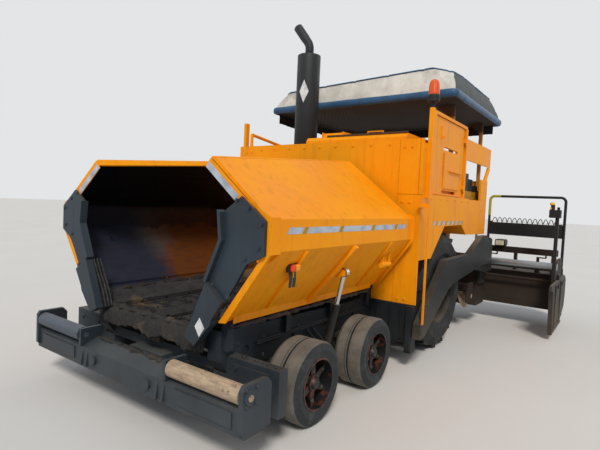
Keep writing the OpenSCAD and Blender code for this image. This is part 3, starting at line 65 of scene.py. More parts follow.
yaw, pitch, roll = -0.6270, 0.0492, -0.0454
ahead = Vector((math.sin(yaw) * math.cos(pitch), math.cos(yaw) * math.cos(pitch), -math.sin(pitch)))
level = Vector((math.cos(yaw), -math.sin(yaw), 0.0))
down = ahead.cross(level)
side = math.cos(roll) * level + math.sin(roll) * down
below = -math.sin(roll) * level + math.cos(roll) * down
view = Matrix((side, -below, -ahead)).transposed().to_4x4()
view.translation = Vector((2.9616, -5.0096, 1.6434))
lens = bpy.data.cameras.new("yard_camera")
lens.sensor_width = 36.0
lens.lens = 36.0 * 455.74 / 600.0
lens.clip_start = 0.05
camera = bpy.data.objects.new("yard_camera", lens)
camera.matrix_world = view
bpy.context.scene.collection.objects.link(camera)
bpy.context.scene.camera = camera


def sun_lamp(name, aim, softness, strength, colour):
    """A wide soft sun that shines along the aim direction."""
    lamp = bpy.data.lights.new(name, "SUN")
    lamp.angle = math.radians(softness)
    lamp.energy = strength
    lamp.color = lin(colour)[:3]
    holder = bpy.data.objects.new(name, lamp)
    holder.rotation_euler = Vector(aim).to_track_quat("-Z", "Y").to_euler()
    bpy.context.scene.collection.objects.link(holder)


sun_lamp("key_lamp", (-0.45, 0.62, -0.80), 14.0, 2.18, "#FFF6EC")
sun_lamp("fill_lamp", (0.75, 0.45, -0.55), 60.0, 0.35, "#EAF1FF")
sun_lamp("rear_lamp", (-0.25, -0.85, -0.55), 60.0, 0.45, "#F2F6FF")

world = bpy.data.worlds.new("sky_light")
world.use_nodes = True
sky = world.node_tree
sky.nodes.clear()
rays = add(sky, "ShaderNodeLightPath")
seen = add(sky, "ShaderNodeMath", {0: rays.outputs["Is Camera Ray"], 1: rays.outputs["Is Glossy Ray"]},
           operation="MAXIMUM")
seen = add(sky, "ShaderNodeMath", {0: seen.outputs[0], 1: rays.outputs["Is Transmission Ray"]},
           operation="MAXIMUM")
soft = add(sky, "ShaderNodeBackground", {"Color": lin("#EDF1F7"), "Strength": 0.42})
pale = add(sky, "ShaderNodeBackground", {"Color": lin("#E3E5E6"), "Strength": 1.0})
both = add(sky, "ShaderNodeMixShader", {0: seen.outputs[0], 1: soft.outputs[0], 2: pale.outputs[0]})
add(sky, "ShaderNodeOutputWorld", {"Surface": both.outputs[0]})
bpy.context.scene.world = world
bpy.context.scene.view_settings.view_transform = "Standard"


def new_material(name):
    """An empty material with its node tree, shader and output."""
    m = bpy.data.materials.new(name)
    m.use_nodes = True
    tree = m.node_tree
    tree.nodes.clear()
    shader = add(tree, "ShaderNodeBsdfPrincipled")
    add(tree, "ShaderNodeOutputMaterial", {"Surface": shader.outputs[0]})
    return m, tree, shader


def surface(name, points, faces, body=None, material=None, smooth=False):
    """A mesh object from an array of points and a list of faces, riding on a body, in its material."""
    mesh = bpy.data.meshes.new(name)
    mesh.from_pydata(np.asarray(points, float).reshape(-1, 3).tolist(), [], faces)
    mesh.update()
    if smooth:
        mesh.shade_smooth()
    piece = bpy.data.objects.new(name, mesh)
    bpy.context.scene.collection.objects.link(piece)
    if material is not None:
        mesh.materials.append(material)
    if body is not None:
        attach(piece, body)
    return piece


yard, tree, shader = new_material("smooth_pale_concrete")
place = add(tree, "ShaderNodeTexCoord")
patches = add(tree, "ShaderNodeTexNoise", {"Vector": place.outputs["Object"], "Scale": 0.5, "Detail": 5.0})
tint = add(tree, "ShaderNodeMix", {0: patches.outputs["Fac"], 6: lin("#CFCFCD"), 7: lin("#DADAD8")},
           data_type="RGBA")
tree.links.new(tint.outputs[2], shader.inputs["Base Color"])
shader.inputs["Roughness"].default_value = 0.9
shader.inputs["Specular IOR Level"].default_value = 0.1
floor = surface("yard_floor", [(-90, -90, 0), (90, -90, 0), (90, 90, 0), (-90, 90, 0)], [(0, 1, 2, 3)], None, yard)

# Paint
# Yellow enamel over steel plate, sprayed, then years of sun, bitumen dust and scrapes: it fades in
# patches, streaks downwards, gathers dust low down and on ledges, and chips to rust at its edges.


def painted_plate(name, base, faded, grime, chip, rough=0.42, streaks=0.35, dusty=0.3, worn=0.5, fade=0.6,
                  shine=0.3):
    """Paint on steel: base to faded by a slow noise, grime by noise stretched upright and by fine specks,
    dust by how far a face looks up and by height, and chips where a rounded normal leaves the flat one."""
    m, tree, shader = new_material(name)
    place = add(tree, "ShaderNodeTexCoord")
    at = place.outputs["Object"]
    slow = add(tree, "ShaderNodeTexNoise", {"Vector": at, "Scale": 1.6, "Detail": 4.0, "Roughness": 0.6})
    sun = add(tree, "ShaderNodeMapRange", {0: slow.outputs["Fac"], 1: 0.35, 2: 0.65, 3: 0.0, 4: fade})
    colour = add(tree, "ShaderNodeMix", {0: sun.outputs[0], 6: lin(base), 7: lin(faded)}, data_type="RGBA")
    upright = add(tree, "ShaderNodeMapping", {"Vector": at, "Scale": (14.0, 14.0, 1.1)})
    runs = add(tree, "ShaderNodeTexNoise", {"Vector": upright.outputs[0], "Scale": 1.0, "Detail": 5.0,
                                            "Roughness": 0.65})
    run_mask = add(tree, "ShaderNodeMapRange", {0: runs.outputs["Fac"], 1: 0.52, 2: 0.78, 3: 0.0, 4: streaks})
    colour = add(tree, "ShaderNodeMix", {0: run_mask.outputs[0], 6: colour.outputs[2], 7: lin(grime)},
                 data_type="RGBA")
    specks = add(tree, "ShaderNodeTexNoise", {"Vector": at, "Scale": 55.0, "Detail": 6.0, "Roughness": 0.7})
    speck_mask = add(tree, "ShaderNodeMapRange", {0: specks.outputs["Fac"], 1: 0.6, 2: 0.74, 3: 0.0,
                                                  4: 0.6 * streaks})
    colour = add(tree, "ShaderNodeMix", {0: speck_mask.outputs[0], 6: colour.outputs[2], 7: lin(grime)},
                 data_type="RGBA")
    # Dust on what looks upwards, and splashed from the ground to about knee height
    split = add(tree, "ShaderNodeSeparateXYZ", {0: place.outputs["Normal"]})
    ledge = add(tree, "ShaderNodeMapRange", {0: split.outputs[2], 1: 0.6, 2: 1.0, 3: 0.0, 4: dusty})
    height = add(tree, "ShaderNodeSeparateXYZ", {0: at})
    splash = add(tree, "ShaderNodeMapRange", {0: height.outputs[2], 1: 0.75, 2: 0.1, 3: 0.0, 4: 0.8 * dusty})
    settle = add(tree, "ShaderNodeMath", {0: ledge.outputs[0], 1: splash.outputs[0]}, operation="MAXIMUM")
    uneven = add(tree, "ShaderNodeMapRange", {0: slow.outputs["Fac"], 1: 0.3, 2: 0.62, 3: 0.25, 4: 1.0})
    settle = add(tree, "ShaderNodeMath", {0: settle.outputs[0], 1: uneven.outputs[0]}, operation="MULTIPLY")
    colour = add(tree, "ShaderNodeMix", {0: settle.outputs[0], 6: colour.outputs[2], 7: lin("#9A8D78")},
                 data_type="RGBA")
    # Chipped edges
    flat = add(tree, "ShaderNodeNewGeometry")
    rounded = add(tree, "ShaderNodeBevel", {"Radius": 0.007}, samples=3)
    turn = add(tree, "ShaderNodeVectorMath", {0: rounded.outputs[0], 1: flat.outputs["Normal"]},
               operation="DOT_PRODUCT")
    edge = add(tree, "ShaderNodeMapRange", {0: turn.outputs["Value"], 1: 0.995, 2: 0.86, 3: 0.0, 4: 1.0})
    patchy = add(tree, "ShaderNodeTexNoise", {"Vector": at, "Scale": 17.0, "Detail": 7.0, "Roughness": 0.75})
    patch_mask = add(tree, "ShaderNodeMapRange", {0: patchy.outputs["Fac"], 1: 0.5, 2: 0.6, 3: 0.0, 4: worn})
    chipped = add(tree, "ShaderNodeMath", {0: edge.outputs[0], 1: patch_mask.outputs[0]}, operation="MULTIPLY")
    spots = add(tree, "ShaderNodeMapRange", {0: patchy.outputs["Fac"], 1: 0.715, 2: 0.74, 3: 0.0, 4: worn})
    chipped = add(tree, "ShaderNodeMath", {0: chipped.outputs[0], 1: spots.outputs[0]}, operation="MAXIMUM")
    colour = add(tree, "ShaderNodeMix", {0: chipped.outputs[0], 6: colour.outputs[2], 7: lin(chip)},
                 data_type="RGBA")
    tree.links.new(colour.outputs[2], shader.inputs["Base Color"])
    dull = add(tree, "ShaderNodeMapRange", {0: slow.outputs["Fac"], 1: 0.3, 2: 0.7, 3: rough, 4: rough + 0.2})
    dull = add(tree, "ShaderNodeMath", {0: dull.outputs[0], 1: settle.outputs[0]}, operation="ADD",
               use_clamp=True)
    tree.links.new(dull.outputs[0], shader.inputs["Roughness"])
    # Hand-height dents of the sheet and the orange peel of the spray
    dents = add(tree, "ShaderNodeTexNoise", {"Vector": at, "Scale": 2.6, "Detail": 2.0})
    peel = add(tree, "ShaderNodeTexNoise", {"Vector": at, "Scale": 240.0, "Detail": 2.0})
    low = add(tree, "ShaderNodeBump", {"Height": dents.outputs["Fac"], "Strength": 0.12, "Distance": 0.02})
    fine = add(tree, "ShaderNodeBump", {"Height": peel.outputs["Fac"], "Strength": 0.08, "Distance": 0.002,
                                        "Normal": low.outputs[0]})
    hollow = add(tree, "ShaderNodeBump", {"Height": chipped.outputs[0], "Strength": 0.2, "Distance": 0.001,
                                          "Normal": fine.outputs[0]}, invert=True)
    tree.links.new(hollow.outputs[0], shader.inputs["Normal"])
    shader.inputs["Specular IOR Level"].default_value = shine
    return m


def dress(material, *names):
    """Gives CAD nodes their finish."""
    for name in names:
        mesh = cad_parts[name].data
        mesh.materials.clear()
        mesh.materials.append(material)
        mesh.polygons.foreach_set("material_index", np.zeros(len(mesh.polygons), np.int32))


yellow = painted_plate("yellow_enamel", "#F29300", "#F8A30A", "#9A6413", "#5A3A26", dusty=0.05, fade=0.8,
                       shine=0.16)
yellow["slot"] = "yellow_paint"
dress(yellow, "tractor_body", "engine_hood", "side_door", "operator_platform")

def mm(points):
    """Points of the part's source, in millimetres with Y from the machine's nose, as metres in the frame."""
    return np.asarray(points, float) / 1000 - (0.0, 3.265, 0.0)


def face_outward(piece):
    """Turns the faces of each closed shell to point away from its inside."""
    shell = bmesh.new()
    shell.from_mesh(piece.data)
    bmesh.ops.recalc_face_normals(shell, faces=shell.faces)
    shell.to_mesh(piece.data)
    shell.free()
    return piece


def slabs(name, outlines, depth, body, material, edge=0.0):
    """Flat plates in one mesh: each outline of corners, and the same outline moved by depth, with the
    faces between them. Edge rounds the corners with a bevel."""
    near = np.asarray(outlines, float)
    many, corners = near.shape[:2]
    points = np.concatenate([near, near + np.asarray(depth, float)], axis=1)
    one = [list(range(corners))[::-1], list(range(corners, 2 * corners))]
    one += [[k, (k + 1) % corners, corners + (k + 1) % corners, corners + k] for k in range(corners)]
    faces = [[2 * corners * plate + index for index in face] for plate in range(many) for face in one]
    piece = face_outward(surface(name, points, faces, body, material))
    if edge:
        bevel = piece.modifiers.new("rounded_edges", "BEVEL")
        bevel.width = edge
        bevel.segments = 2
    return piece


def blocks(name, boxes, body, material, edge=0.003):
    """Small boxes in one mesh, each from its lowest to its highest corner, with rounded edges."""
    boxes = np.asarray(boxes, float)
    low, high = boxes[:, 0], boxes[:, 1]
    outline = np.stack([low, np.stack([high[:, 0], low[:, 1], low[:, 2]], -1),
                        np.stack([high[:, 0], high[:, 1], low[:, 2]], -1),
                        np.stack([low[:, 0], high[:, 1], low[:, 2]], -1)], axis=1)
    rise = (high[:, 2] - low[:, 2])[:, None, None] * np.array([0.0, 0.0, 1.0])
    points = np.concatenate([outline, outline + rise], axis=1)
    one = [[3, 2, 1, 0], [4, 5, 6, 7], [0, 1, 5, 4], [1, 2, 6, 5], [2, 3, 7, 6], [3, 0, 4, 7]]
    faces = [[8 * k + index for index in face] for k in range(len(boxes)) for face in one]
    piece = surface(name, points, faces, body, material)
    bevel = piece.modifiers.new("rounded_edges", "BEVEL")
    bevel.width = edge
    bevel.segments = 2
    return piece


def grid_faces(rows, columns, around=False, along=False):
    """The faces of a grid of points, rows by columns: around joins the last column to the first, and
    along joins the last row to the first."""
    index = np.arange(rows * columns).reshape(rows, columns)
    if around:
        index = np.hstack([index, index[:, :1]])
    if along:
        index = np.vstack([index, index[:1]])
    return np.stack([index[:-1, :-1], index[:-1, 1:], index[1:, 1:], index[1:, :-1]], -1).reshape(-1, 4)


def turned(name, profile, centres, axis, body, material, sides=24, smooth=False):
    """Turned pieces in one mesh: a profile of (radius, distance along the axis) goes round the axis in
    equal steps, with flat ends, and the whole stands at each centre."""
    profile = np.asarray(profile, float)
    rows = len(profile)
    axis = np.asarray(axis, float) / np.linalg.norm(axis)
    first = np.cross(axis, (1.0, 0.0, 0.0) if abs(axis[2]) > 0.9 else (0.0, 0.0, 1.0))
    first /= np.linalg.norm(first)
    angle = 2 * np.pi * np.arange(sides) / sides
    ring = np.cos(angle)[:, None] * first + np.sin(angle)[:, None] * np.cross(axis, first)
    one = profile[:, 0, None, None] * ring + profile[:, 1, None, None] * axis
    centres = np.atleast_2d(centres)
    points = centres[:, None, None, :] + one
    step = (rows * sides * np.arange(len(centres)))[:, None, None]
    quads = (grid_faces(rows, sides, around=True) + step).reshape(-1, 4).tolist()
    ends = np.stack([np.arange(sides)[::-1], (rows - 1) * sides + np.arange(sides)])
    return face_outward(surface(name, points, quads + (ends + step).reshape(-1, sides).tolist(), body,
                                material, smooth))


def tube(name, path, radius, body, material, sides=16, loop=False, up=(0.0, 0.0, 1.0), squeeze=1.0):
    """A round section carried along a path: at each point its circle, narrowed sideways by the squeeze,
    lies across the path's direction."""
    path = np.asarray(path, float)
    run = np.roll(path, -1, 0) - np.roll(path, 1, 0) if loop else np.gradient(path, axis=0)
    run /= np.linalg.norm(run, axis=1)[:, None]
    across = np.cross(run, up)
    across /= np.linalg.norm(across, axis=1)[:, None]
    angle = 2 * np.pi * np.arange(sides) / sides
    wide = np.broadcast_to(np.asarray(radius, float), len(path))[:, None, None]
    points = path[:, None] + wide * (squeeze * np.cos(angle)[:, None] * across[:, None]
                                     + np.sin(angle)[:, None] * np.cross(across, run)[:, None])
    faces = grid_faces(len(path), sides, around=True, along=loop).tolist()
    if not loop:
        faces += [list(range(sides))[::-1], [(len(path) - 1) * sides + k for k in range(sides)]]
    return face_outward(surface(name, points, faces, body, material, True))


hex_head = [(0.0125, -0.004), (0.0125, 0.007), (0.0105, 0.009)]
washer = [(0.017, -0.004), (0.017, 0.0015), (0.016, 0.0022)]


def bolts(name, centres, axis, body, material, size=1.0):
    """Hexagon heads on washers, at each centre on a face that looks along the axis."""
    turned(name + "_heads", np.array(hex_head) * size, centres, axis, body, material, 6)
    turned(name + "_washers", np.array(washer) * size, centres, axis, body, material, 20)


# Body trim
# What is screwed to the yellow body: bolts along its sheets, blank strips of reflective sheeting on its
# sides, and a rusted rail along the hood's edge.
sheeting, tree, shader = new_material("reflective_sheeting")
sheeting["slot"] = "yellow_paint"
at = add(tree, "ShaderNodeTexCoord").outputs["Object"]
cells = add(tree, "ShaderNodeTexVoronoi", {"Vector": at, "Scale": 260.0})
soiled = add(tree, "ShaderNodeTexNoise", {"Vector": at, "Scale": 9.0, "Detail": 6.0})
worn_film = add(tree, "ShaderNodeMapRange", {0: soiled.outputs["Fac"], 1: 0.4, 2: 0.7})
film = add(tree, "ShaderNodeMix", {0: worn_film.outputs[0], 6: lin("#B9C3CF"), 7: lin("#8F98A3")},
           data_type="RGBA")
tree.links.new(film.outputs[2], shader.inputs["Base Color"])
shader.inputs["Roughness"].default_value = 0.32
shader.inputs["Metallic"].default_value = 0.25
bead = add(tree, "ShaderNodeBump", {"Height": cells.outputs["Distance"], "Strength": 0.2, "Distance": 0.001})
tree.links.new(bead.outputs[0], shader.inputs["Normal"])

olive = painted_plate("olive_sheeting", "#B08A12", "#96811F", "#5E5420", "#6D6A50")
olive["slot"] = "yellow_paint"


def strip(name, side_sign, x, z, height, spans, slant, body, material):
    """Bands on an upright side: each span along the machine is a four-cornered patch with slanted ends."""
    low, high = z - height / 2, z + height / 2
    outlines = [mm([(side_sign * x, a - slant, low), (side_sign * x, b - slant, low),
                    (side_sign * x, b + slant, high), (side_sign * x, a + slant, high)]) for a, b in spans]
    return slabs(name, outlines, (side_sign * 0.0012, 0.0, 0.0), body, material)


for side_name, sign in (("left", 1.0), ("right", -1.0)):
    strip(f"body_strip_pale_{side_name}", sign, 1250.2, 1485, 46,
          [(3065 + 155 * k, 3135 + 155 * k) for k in range(7)], 18, "chassis", sheeting)
    strip(f"body_strip_olive_{side_name}", sign, 1250.2, 1485, 46,
          [(3140 + 155 * k, 3168 + 155 * k) for k in range(7)], 18, "chassis", olive)
    seams = [(sign * 1250, y, z) for y in (2700, 2780, 2880) for z in (1840, 2240)]
    seams += [(sign * 1250, y, 1745) for y in range(2700, 4300, 260)]
    seams += [(sign * 1250, y, z) for y in (4900, 5120) for z in (1380, 1640, 1900, 2030)]
    bolts(f"body_bolts_{side_name}", mm(seams), (sign, 0, 0), "chassis", yellow, 0.8)
bolts("front_wall_bolts", mm([(x, 2660, z) for x in (-1130, -1050, 1050, 1130) for z in (700, 1200, 1700, 2260)]
                             + [(x, 2660, 2290) for x in range(-880, 900, 220)]), (0, -1, 0), "chassis", yellow)
rusted = painted_plate("rusted_edge_steel", "#4A3420", "#5E432A", "#1E1712", "#35241A", rough=0.7, dusty=0.15)
rusted["slot"] = "yellow_paint"
blocks("hood_edge_rail", [(mm((60, 2712, 2410.4)), mm((1046, 2734, 2430)))], "hood", rusted, 0.002)
bolts("rear_wall_bolts", mm([(x, 5190, z) for x in (-1120, -820, -320, 320, 820, 1120) for z in (1385, 2030)]),
      (0, 1, 0), "chassis", yellow)

# Frame
# Welded side beams, cross members and axle hangers in slate enamel, dusty and chipped from years of
# loading. The knuckles and rims below them were sprayed black.
slate = painted_plate("slate_chassis_enamel", "#242E37", "#33414C", "#14171A", "#5E4E42", rough=0.36,
                      streaks=0.4, dusty=0.14, worn=0.5)
soot = painted_plate("sooty_chassis_enamel", "#17191C", "#25292E", "#0E0F11", "#4E4034", rough=0.5, streaks=0.5,
                     dusty=0.25, worn=0.6)
soot["slot"] = "dark_paint"
dress(slate, "wing_plate_left", "wing_plate_right")
dress(soot, "bogie_beams", "rear_axle")
# The frame: slate enamel at the nose, blended to near-black from about 0.63 m behind it: painted shade under the wings
nose = painted_plate("chassis_enamel_slate_to_painted_shade", "#242E37", "#33414C", "#14171A", "#5E4E42", rough=0.42,
                     streaks=0.45, dusty=0.16, worn=0.5)
tree = nose.node_tree
shader = next(n for n in tree.nodes if n.type == "BSDF_PRINCIPLED")
coat = shader.inputs["Base Color"].links[0].from_socket
station = add(tree, "ShaderNodeSeparateXYZ", {0: add(tree, "ShaderNodeTexCoord").outputs["Object"]})
shade_under_wings = add(tree, "ShaderNodeMapRange", {0: station.outputs[1], 1: -2.64, 2: -2.4, 3: 0.0, 4: 0.72})
coat = add(tree, "ShaderNodeMix", {0: shade_under_wings.outputs[0], 6: coat, 7: lin("#101113")}, data_type="RGBA")
tree.links.new(coat.outputs[2], shader.inputs["Base Color"])
dress(nose, "chassis_frame")
slate["slot"] = "dark_paint"
black = painted_plate("black_enamel", "#17181A", "#26282A", "#0E0F10", "#59483B", rough=0.45, streaks=0.4,
                      dusty=0.4, worn=0.5)
black["slot"] = "dark_paint"
dress(black, "knuckle_left_1", "knuckle_left_2", "knuckle_right_1", "knuckle_right_2", "engine_block",
      "tow_arms", "end_plate_left", "end_plate_right", "end_frame_left", "end_frame_right", "control_console")

bolts("frame_bolts_left", mm([(750, y, z) for y in (620, 900, 1350, 2150) for z in (470, 610)]), (1, 0, 0),
      "chassis", slate)
bolts("frame_bolts_right", mm([(-750, y, z) for y in (620, 900, 1350, 2150) for z in (470, 610)]), (-1, 0, 0),
      "chassis", slate)
bolts("axle_bolts_left", mm([(776, 3600 + y, z) for y in (-150, 0, 150) for z in (470, 800 - abs(150) / 3)]),
      (1, 0, 0), "chassis", black)

# Push beam and rollers
# The beam is slate like the frame. The left roller has lost its paint to lorry tyres and shows tan,
# scuffed steel; the right one still has most of its coat.
dress(slate, "push_beam")
roller_slate = painted_plate("slate_roller_enamel", "#3C4754", "#4C5867", "#22262B", "#7A6450", rough=0.32,
                             streaks=0.4, dusty=0.15, worn=0.7)
dress(roller_slate, "push_roller_right")


def scuffed_steel(name, pale, mid, dark, along, rough=0.62):
    """Bare steel worn by rubbing: a noise stretched along an axis mixes pale and middle tones, another adds dark
    spots.
    """
    m, tree, shader = new_material(name)
    at = add(tree, "ShaderNodeTexCoord").outputs["Object"]
    drawn = add(tree, "ShaderNodeMapping", {"Vector": at, "Scale": along})
    rub = add(tree, "ShaderNodeTexNoise", {"Vector": drawn.outputs[0], "Scale": 1.0, "Detail": 7.0,
                                           "Roughness": 0.7})
    ramp = add(tree, "ShaderNodeMapRange", {0: rub.outputs["Fac"], 1: 0.38, 2: 0.62})
    colour = add(tree, "ShaderNodeMix", {0: ramp.outputs[0], 6: lin(pale), 7: lin(mid)}, data_type="RGBA")
    spots = add(tree, "ShaderNodeTexNoise", {"Vector": at, "Scale": 26.0, "Detail": 6.0, "Roughness": 0.75})
    spot = add(tree, "ShaderNodeMapRange", {0: spots.outputs["Fac"], 1: 0.57, 2: 0.66, 3: 0.0, 4: 0.85})
    colour = add(tree, "ShaderNodeMix", {0: spot.outputs[0], 6: colour.outputs[2], 7: lin(dark)},
                 data_type="RGBA")
    tree.links.new(colour.outputs[2], shader.inputs["Base Color"])
    dull = add(tree, "ShaderNodeMapRange", {0: spots.outputs["Fac"], 1: 0.3, 2: 0.7, 3: rough - 0.1,
                                            4: rough + 0.2})
    tree.links.new(dull.outputs[0], shader.inputs["Roughness"])
    pits = add(tree, "ShaderNodeBump", {"Height": spots.outputs["Fac"], "Strength": 0.35, "Distance": 0.004})
    tree.links.new(pits.outputs[0], shader.inputs["Normal"])
    return m


tan_steel = scuffed_steel("roller_steel_worn_tan", "#B8A388", "#94806A", "#4B3A2C", (9.0, 40.0, 40.0))
tan_steel["slot"] = "worn_steel"
dress(tan_steel, "push_roller_left")

bolts("roller_end_bolts_left", mm([(1250, 198 + a, 505 + b) for a in (-28, 62) for b in (-48, 48)]), (1, 0, 0),
      "push_beam", slate)
bolts("roller_end_bolts_right", mm([(-1250, 198 + a, 505 + b) for a in (-28, 62) for b in (-48, 48)]), (-1, 0, 0),
      "push_beam", slate)

# Hopper
# Folded wings of wear plate: yellow outside, and inside coated by years of asphalt, black above,
# dark steel with a painted bluish sheen of sky reflection low down in front, and rust brown where the mix has rubbed
# it bare.


def line_wing(name, sign):
    """The yellow enamel with the wing's inner faces, those whose normal looks towards the centre plane,
    in bitumen black, dark steel with a painted bluish sheen of sky reflection, and rust mixed by height, station and
    noise."""
    m = painted_plate(name, "#F29300", "#F8A30A", "#9A6413", "#5A3A26", dusty=0.05, fade=0.8, shine=0.16)
    tree = m.node_tree
    shader = next(n for n in tree.nodes if n.type == "BSDF_PRINCIPLED")
    outer = shader.inputs["Base Color"].links[0].from_socket
    dull = shader.inputs["Roughness"].links[0].from_socket
    at = add(tree, "ShaderNodeTexCoord").outputs["Object"]

    def behind(normal, place, depth):
        """1 where a point lies more than depth under the face with that normal through that place."""
        far = add(tree, "ShaderNodeVectorMath", {0: at, 1: (sign * normal[0], normal[1], normal[2])},
                  operation="DOT_PRODUCT")
        level = normal[0] * place[0] + normal[1] * place[1] + normal[2] * place[2] - depth
        return add(tree, "ShaderNodeMath", {0: far.outputs["Value"], 1: level}, operation="LESS_THAN").outputs[0]

    lower = behind((0.799, 0.0, -0.602), (0.816, 0.0, 0.824), 0.0115)
    upright = behind((1.0, 0.0, 0.0), (1.195, 0.0, 1.4), 0.0115)
    upper = behind((0.616, 0.0, 0.788), (1.195, 0.0, 1.533), 0.0115)
    under_lip = behind((-0.788, -0.141, 0.616), (0.695, -2.905, 1.924), 0.016)
    inside = add(tree, "ShaderNodeMath", {0: lower, 1: upright}, operation="MULTIPLY")
    inside = add(tree, "ShaderNodeMath", {0: inside.outputs[0], 1: upper}, operation="MULTIPLY")
    inside = add(tree, "ShaderNodeMath", {0: inside.outputs[0], 1: under_lip}, operation="MULTIPLY")
    foot = add(tree, "ShaderNodeSeparateXYZ", {0: at})
    foot = add(tree, "ShaderNodeMath", {0: foot.outputs[2], 1: 0.822}, operation="LESS_THAN")
    inside = add(tree, "ShaderNodeMath", {0: inside.outputs[0], 1: foot.outputs[0]}, operation="MAXIMUM")
    cloud = add(tree, "ShaderNodeTexNoise", {"Vector": at, "Scale": 3.0, "Detail": 6.0, "Roughness": 0.65,
                                             "Distortion": 0.3})
    where = add(tree, "ShaderNodeSeparateXYZ", {0: at})
    wave = add(tree, "ShaderNodeMath", {0: cloud.outputs["Fac"], 1: 0.5}, operation="SUBTRACT")
    back = add(tree, "ShaderNodeMath", {0: wave.outputs[0], 1: 0.7, 2: where.outputs[1]},
               operation="MULTIPLY_ADD")
    rusty = add(tree, "ShaderNodeMapRange", {0: back.outputs[0], 1: -2.12, 2: -1.86})
    # Low down: blue-black in front, a painted sheen of sky reflection on dark steel, and rust brown further back
    low = add(tree, "ShaderNodeMix", {0: rusty.outputs[0], 6: lin("#242939"), 7: lin("#5E3414")},
              data_type="RGBA")
    drawn = add(tree, "ShaderNodeMapping", {"Vector": at, "Scale": (30.0, 5.0, 30.0)})
    rub = add(tree, "ShaderNodeTexNoise", {"Vector": drawn.outputs[0], "Scale": 1.0, "Detail": 6.0})
    rubbed = add(tree, "ShaderNodeMapRange", {0: rub.outputs["Fac"], 1: 0.5, 2: 0.75, 3: 0.0, 4: 0.55})
    low = add(tree, "ShaderNodeMix", {0: rubbed.outputs[0], 6: low.outputs[2], 7: lin("#2B2226")},
              data_type="RGBA")
    # Paler scratched steel where the rust begins
    fade_in = add(tree, "ShaderNodeMapRange", {0: back.outputs[0], 1: -2.3, 2: -2.05})
    fade_out = add(tree, "ShaderNodeMapRange", {0: back.outputs[0], 1: -2.0, 2: -1.8, 3: 1.0, 4: 0.0})
    scratched = add(tree, "ShaderNodeMath", {0: fade_in.outputs[0], 1: fade_out.outputs[0]}, operation="MULTIPLY")
    upper_half = add(tree, "ShaderNodeMapRange", {0: where.outputs[2], 1: 0.98, 2: 1.2, 3: 0.0, 4: 0.5})
    scratched = add(tree, "ShaderNodeMath", {0: scratched.outputs[0], 1: upper_half.outputs[0]},
                    operation="MULTIPLY")
    low = add(tree, "ShaderNodeMix", {0: scratched.outputs[0], 6: low.outputs[2], 7: lin("#6E655C")},
              data_type="RGBA")
    rise = add(tree, "ShaderNodeMath", {0: wave.outputs[0], 1: 0.25, 2: where.outputs[2]},
               operation="MULTIPLY_ADD")
    banded = add(tree, "ShaderNodeMapRange", {0: rise.outputs[0], 1: 1.3, 2: 1.34, 3: 0.0, 4: 0.75})
    low = add(tree, "ShaderNodeMix", {0: banded.outputs[0], 6: low.outputs[2], 7: lin("#141822")},
              data_type="RGBA")
    high = add(tree, "ShaderNodeMapRange", {0: rise.outputs[0], 1: 1.47, 2: 1.56})
    inner = add(tree, "ShaderNodeMix", {0: high.outputs[0], 6: low.outputs[2], 7: lin("#0B0A0C")},
                data_type="RGBA")
    colour = add(tree, "ShaderNodeMix", {0: inside.outputs[0], 6: outer, 7: inner.outputs[2]},
                 data_type="RGBA")
    tree.links.new(colour.outputs[2], shader.inputs["Base Color"])
    wear = add(tree, "ShaderNodeMapRange", {0: rub.outputs["Fac"], 1: 0.3, 2: 0.7, 3: 0.35, 4: 0.7})
    finish = add(tree, "ShaderNodeMix", {0: inside.outputs[0], 2: dull, 3: wear.outputs[0]})
    tree.links.new(finish.outputs[0], shader.inputs["Roughness"])
    return m


dress(line_wing("wing_left_enamel_and_wear_plate", 1), "wing_left")
dress(line_wing("wing_right_enamel_and_wear_plate", -1), "wing_right")


def bitumen_crust(name, dark, dry, tan, depth=0.012):
    """Cold asphalt caked on steel: lumps from two noises, dark binder in the hollows, dry and tan on top."""
    m, tree, shader = new_material(name)
    at = add(tree, "ShaderNodeTexCoord").outputs["Object"]
    lumps = add(tree, "ShaderNodeTexNoise", {"Vector": at, "Scale": 11.0, "Detail": 8.0, "Roughness": 0.7})
    grit = add(tree, "ShaderNodeTexVoronoi", {"Vector": at, "Scale": 90.0})
    ramp = add(tree, "ShaderNodeMapRange", {0: lumps.outputs["Fac"], 1: 0.35, 2: 0.65})
    colour = add(tree, "ShaderNodeMix", {0: ramp.outputs[0], 6: lin(dark), 7: lin(dry)}, data_type="RGBA")
    wide = add(tree, "ShaderNodeTexNoise", {"Vector": at, "Scale": 1.7, "Detail": 4.0})
    patch = add(tree, "ShaderNodeMapRange", {0: wide.outputs["Fac"], 1: 0.56, 2: 0.68, 3: 0.0, 4: 0.8})
    colour = add(tree, "ShaderNodeMix", {0: patch.outputs[0], 6: colour.outputs[2], 7: lin(tan)},
                 data_type="RGBA")
    tree.links.new(colour.outputs[2], shader.inputs["Base Color"])
    shader.inputs["Roughness"].default_value = 0.8
    height = add(tree, "ShaderNodeMath", {0: grit.outputs["Distance"], 1: 0.15, 2: lumps.outputs["Fac"]},
                 operation="MULTIPLY_ADD")
    rough = add(tree, "ShaderNodeBump", {"Height": height.outputs[0], "Strength": 0.8, "Distance": depth})
    tree.links.new(rough.outputs[0], shader.inputs["Normal"])
    return m


crust = bitumen_crust("asphalt_crust_on_steel", "#19191B", "#38363A", "#75603F")
crust["slot"] = "worn_steel"
dress(crust, "hopper_floor", "conveyors")

def lumps(count, step, seed):
    """Smooth random numbers from 0 to 1 along a run: one draw every few points, with straight lines between."""
    draw = np.random.default_rng(seed).random(count // step + 2)
    return np.interp(np.arange(count) / step, np.arange(len(draw)), draw)


# Wing trim
# A bent return flange closes the front of each upper panel and carries silver sheeting; another band of
# sheeting, cut by olive slants, runs along the upright band.
slope = math.radians(38)
up_wing = np.array([-math.cos(slope), 0.0, math.sin(slope)])
in_wing = np.array([-math.sin(slope), 0.0, -math.cos(slope)])


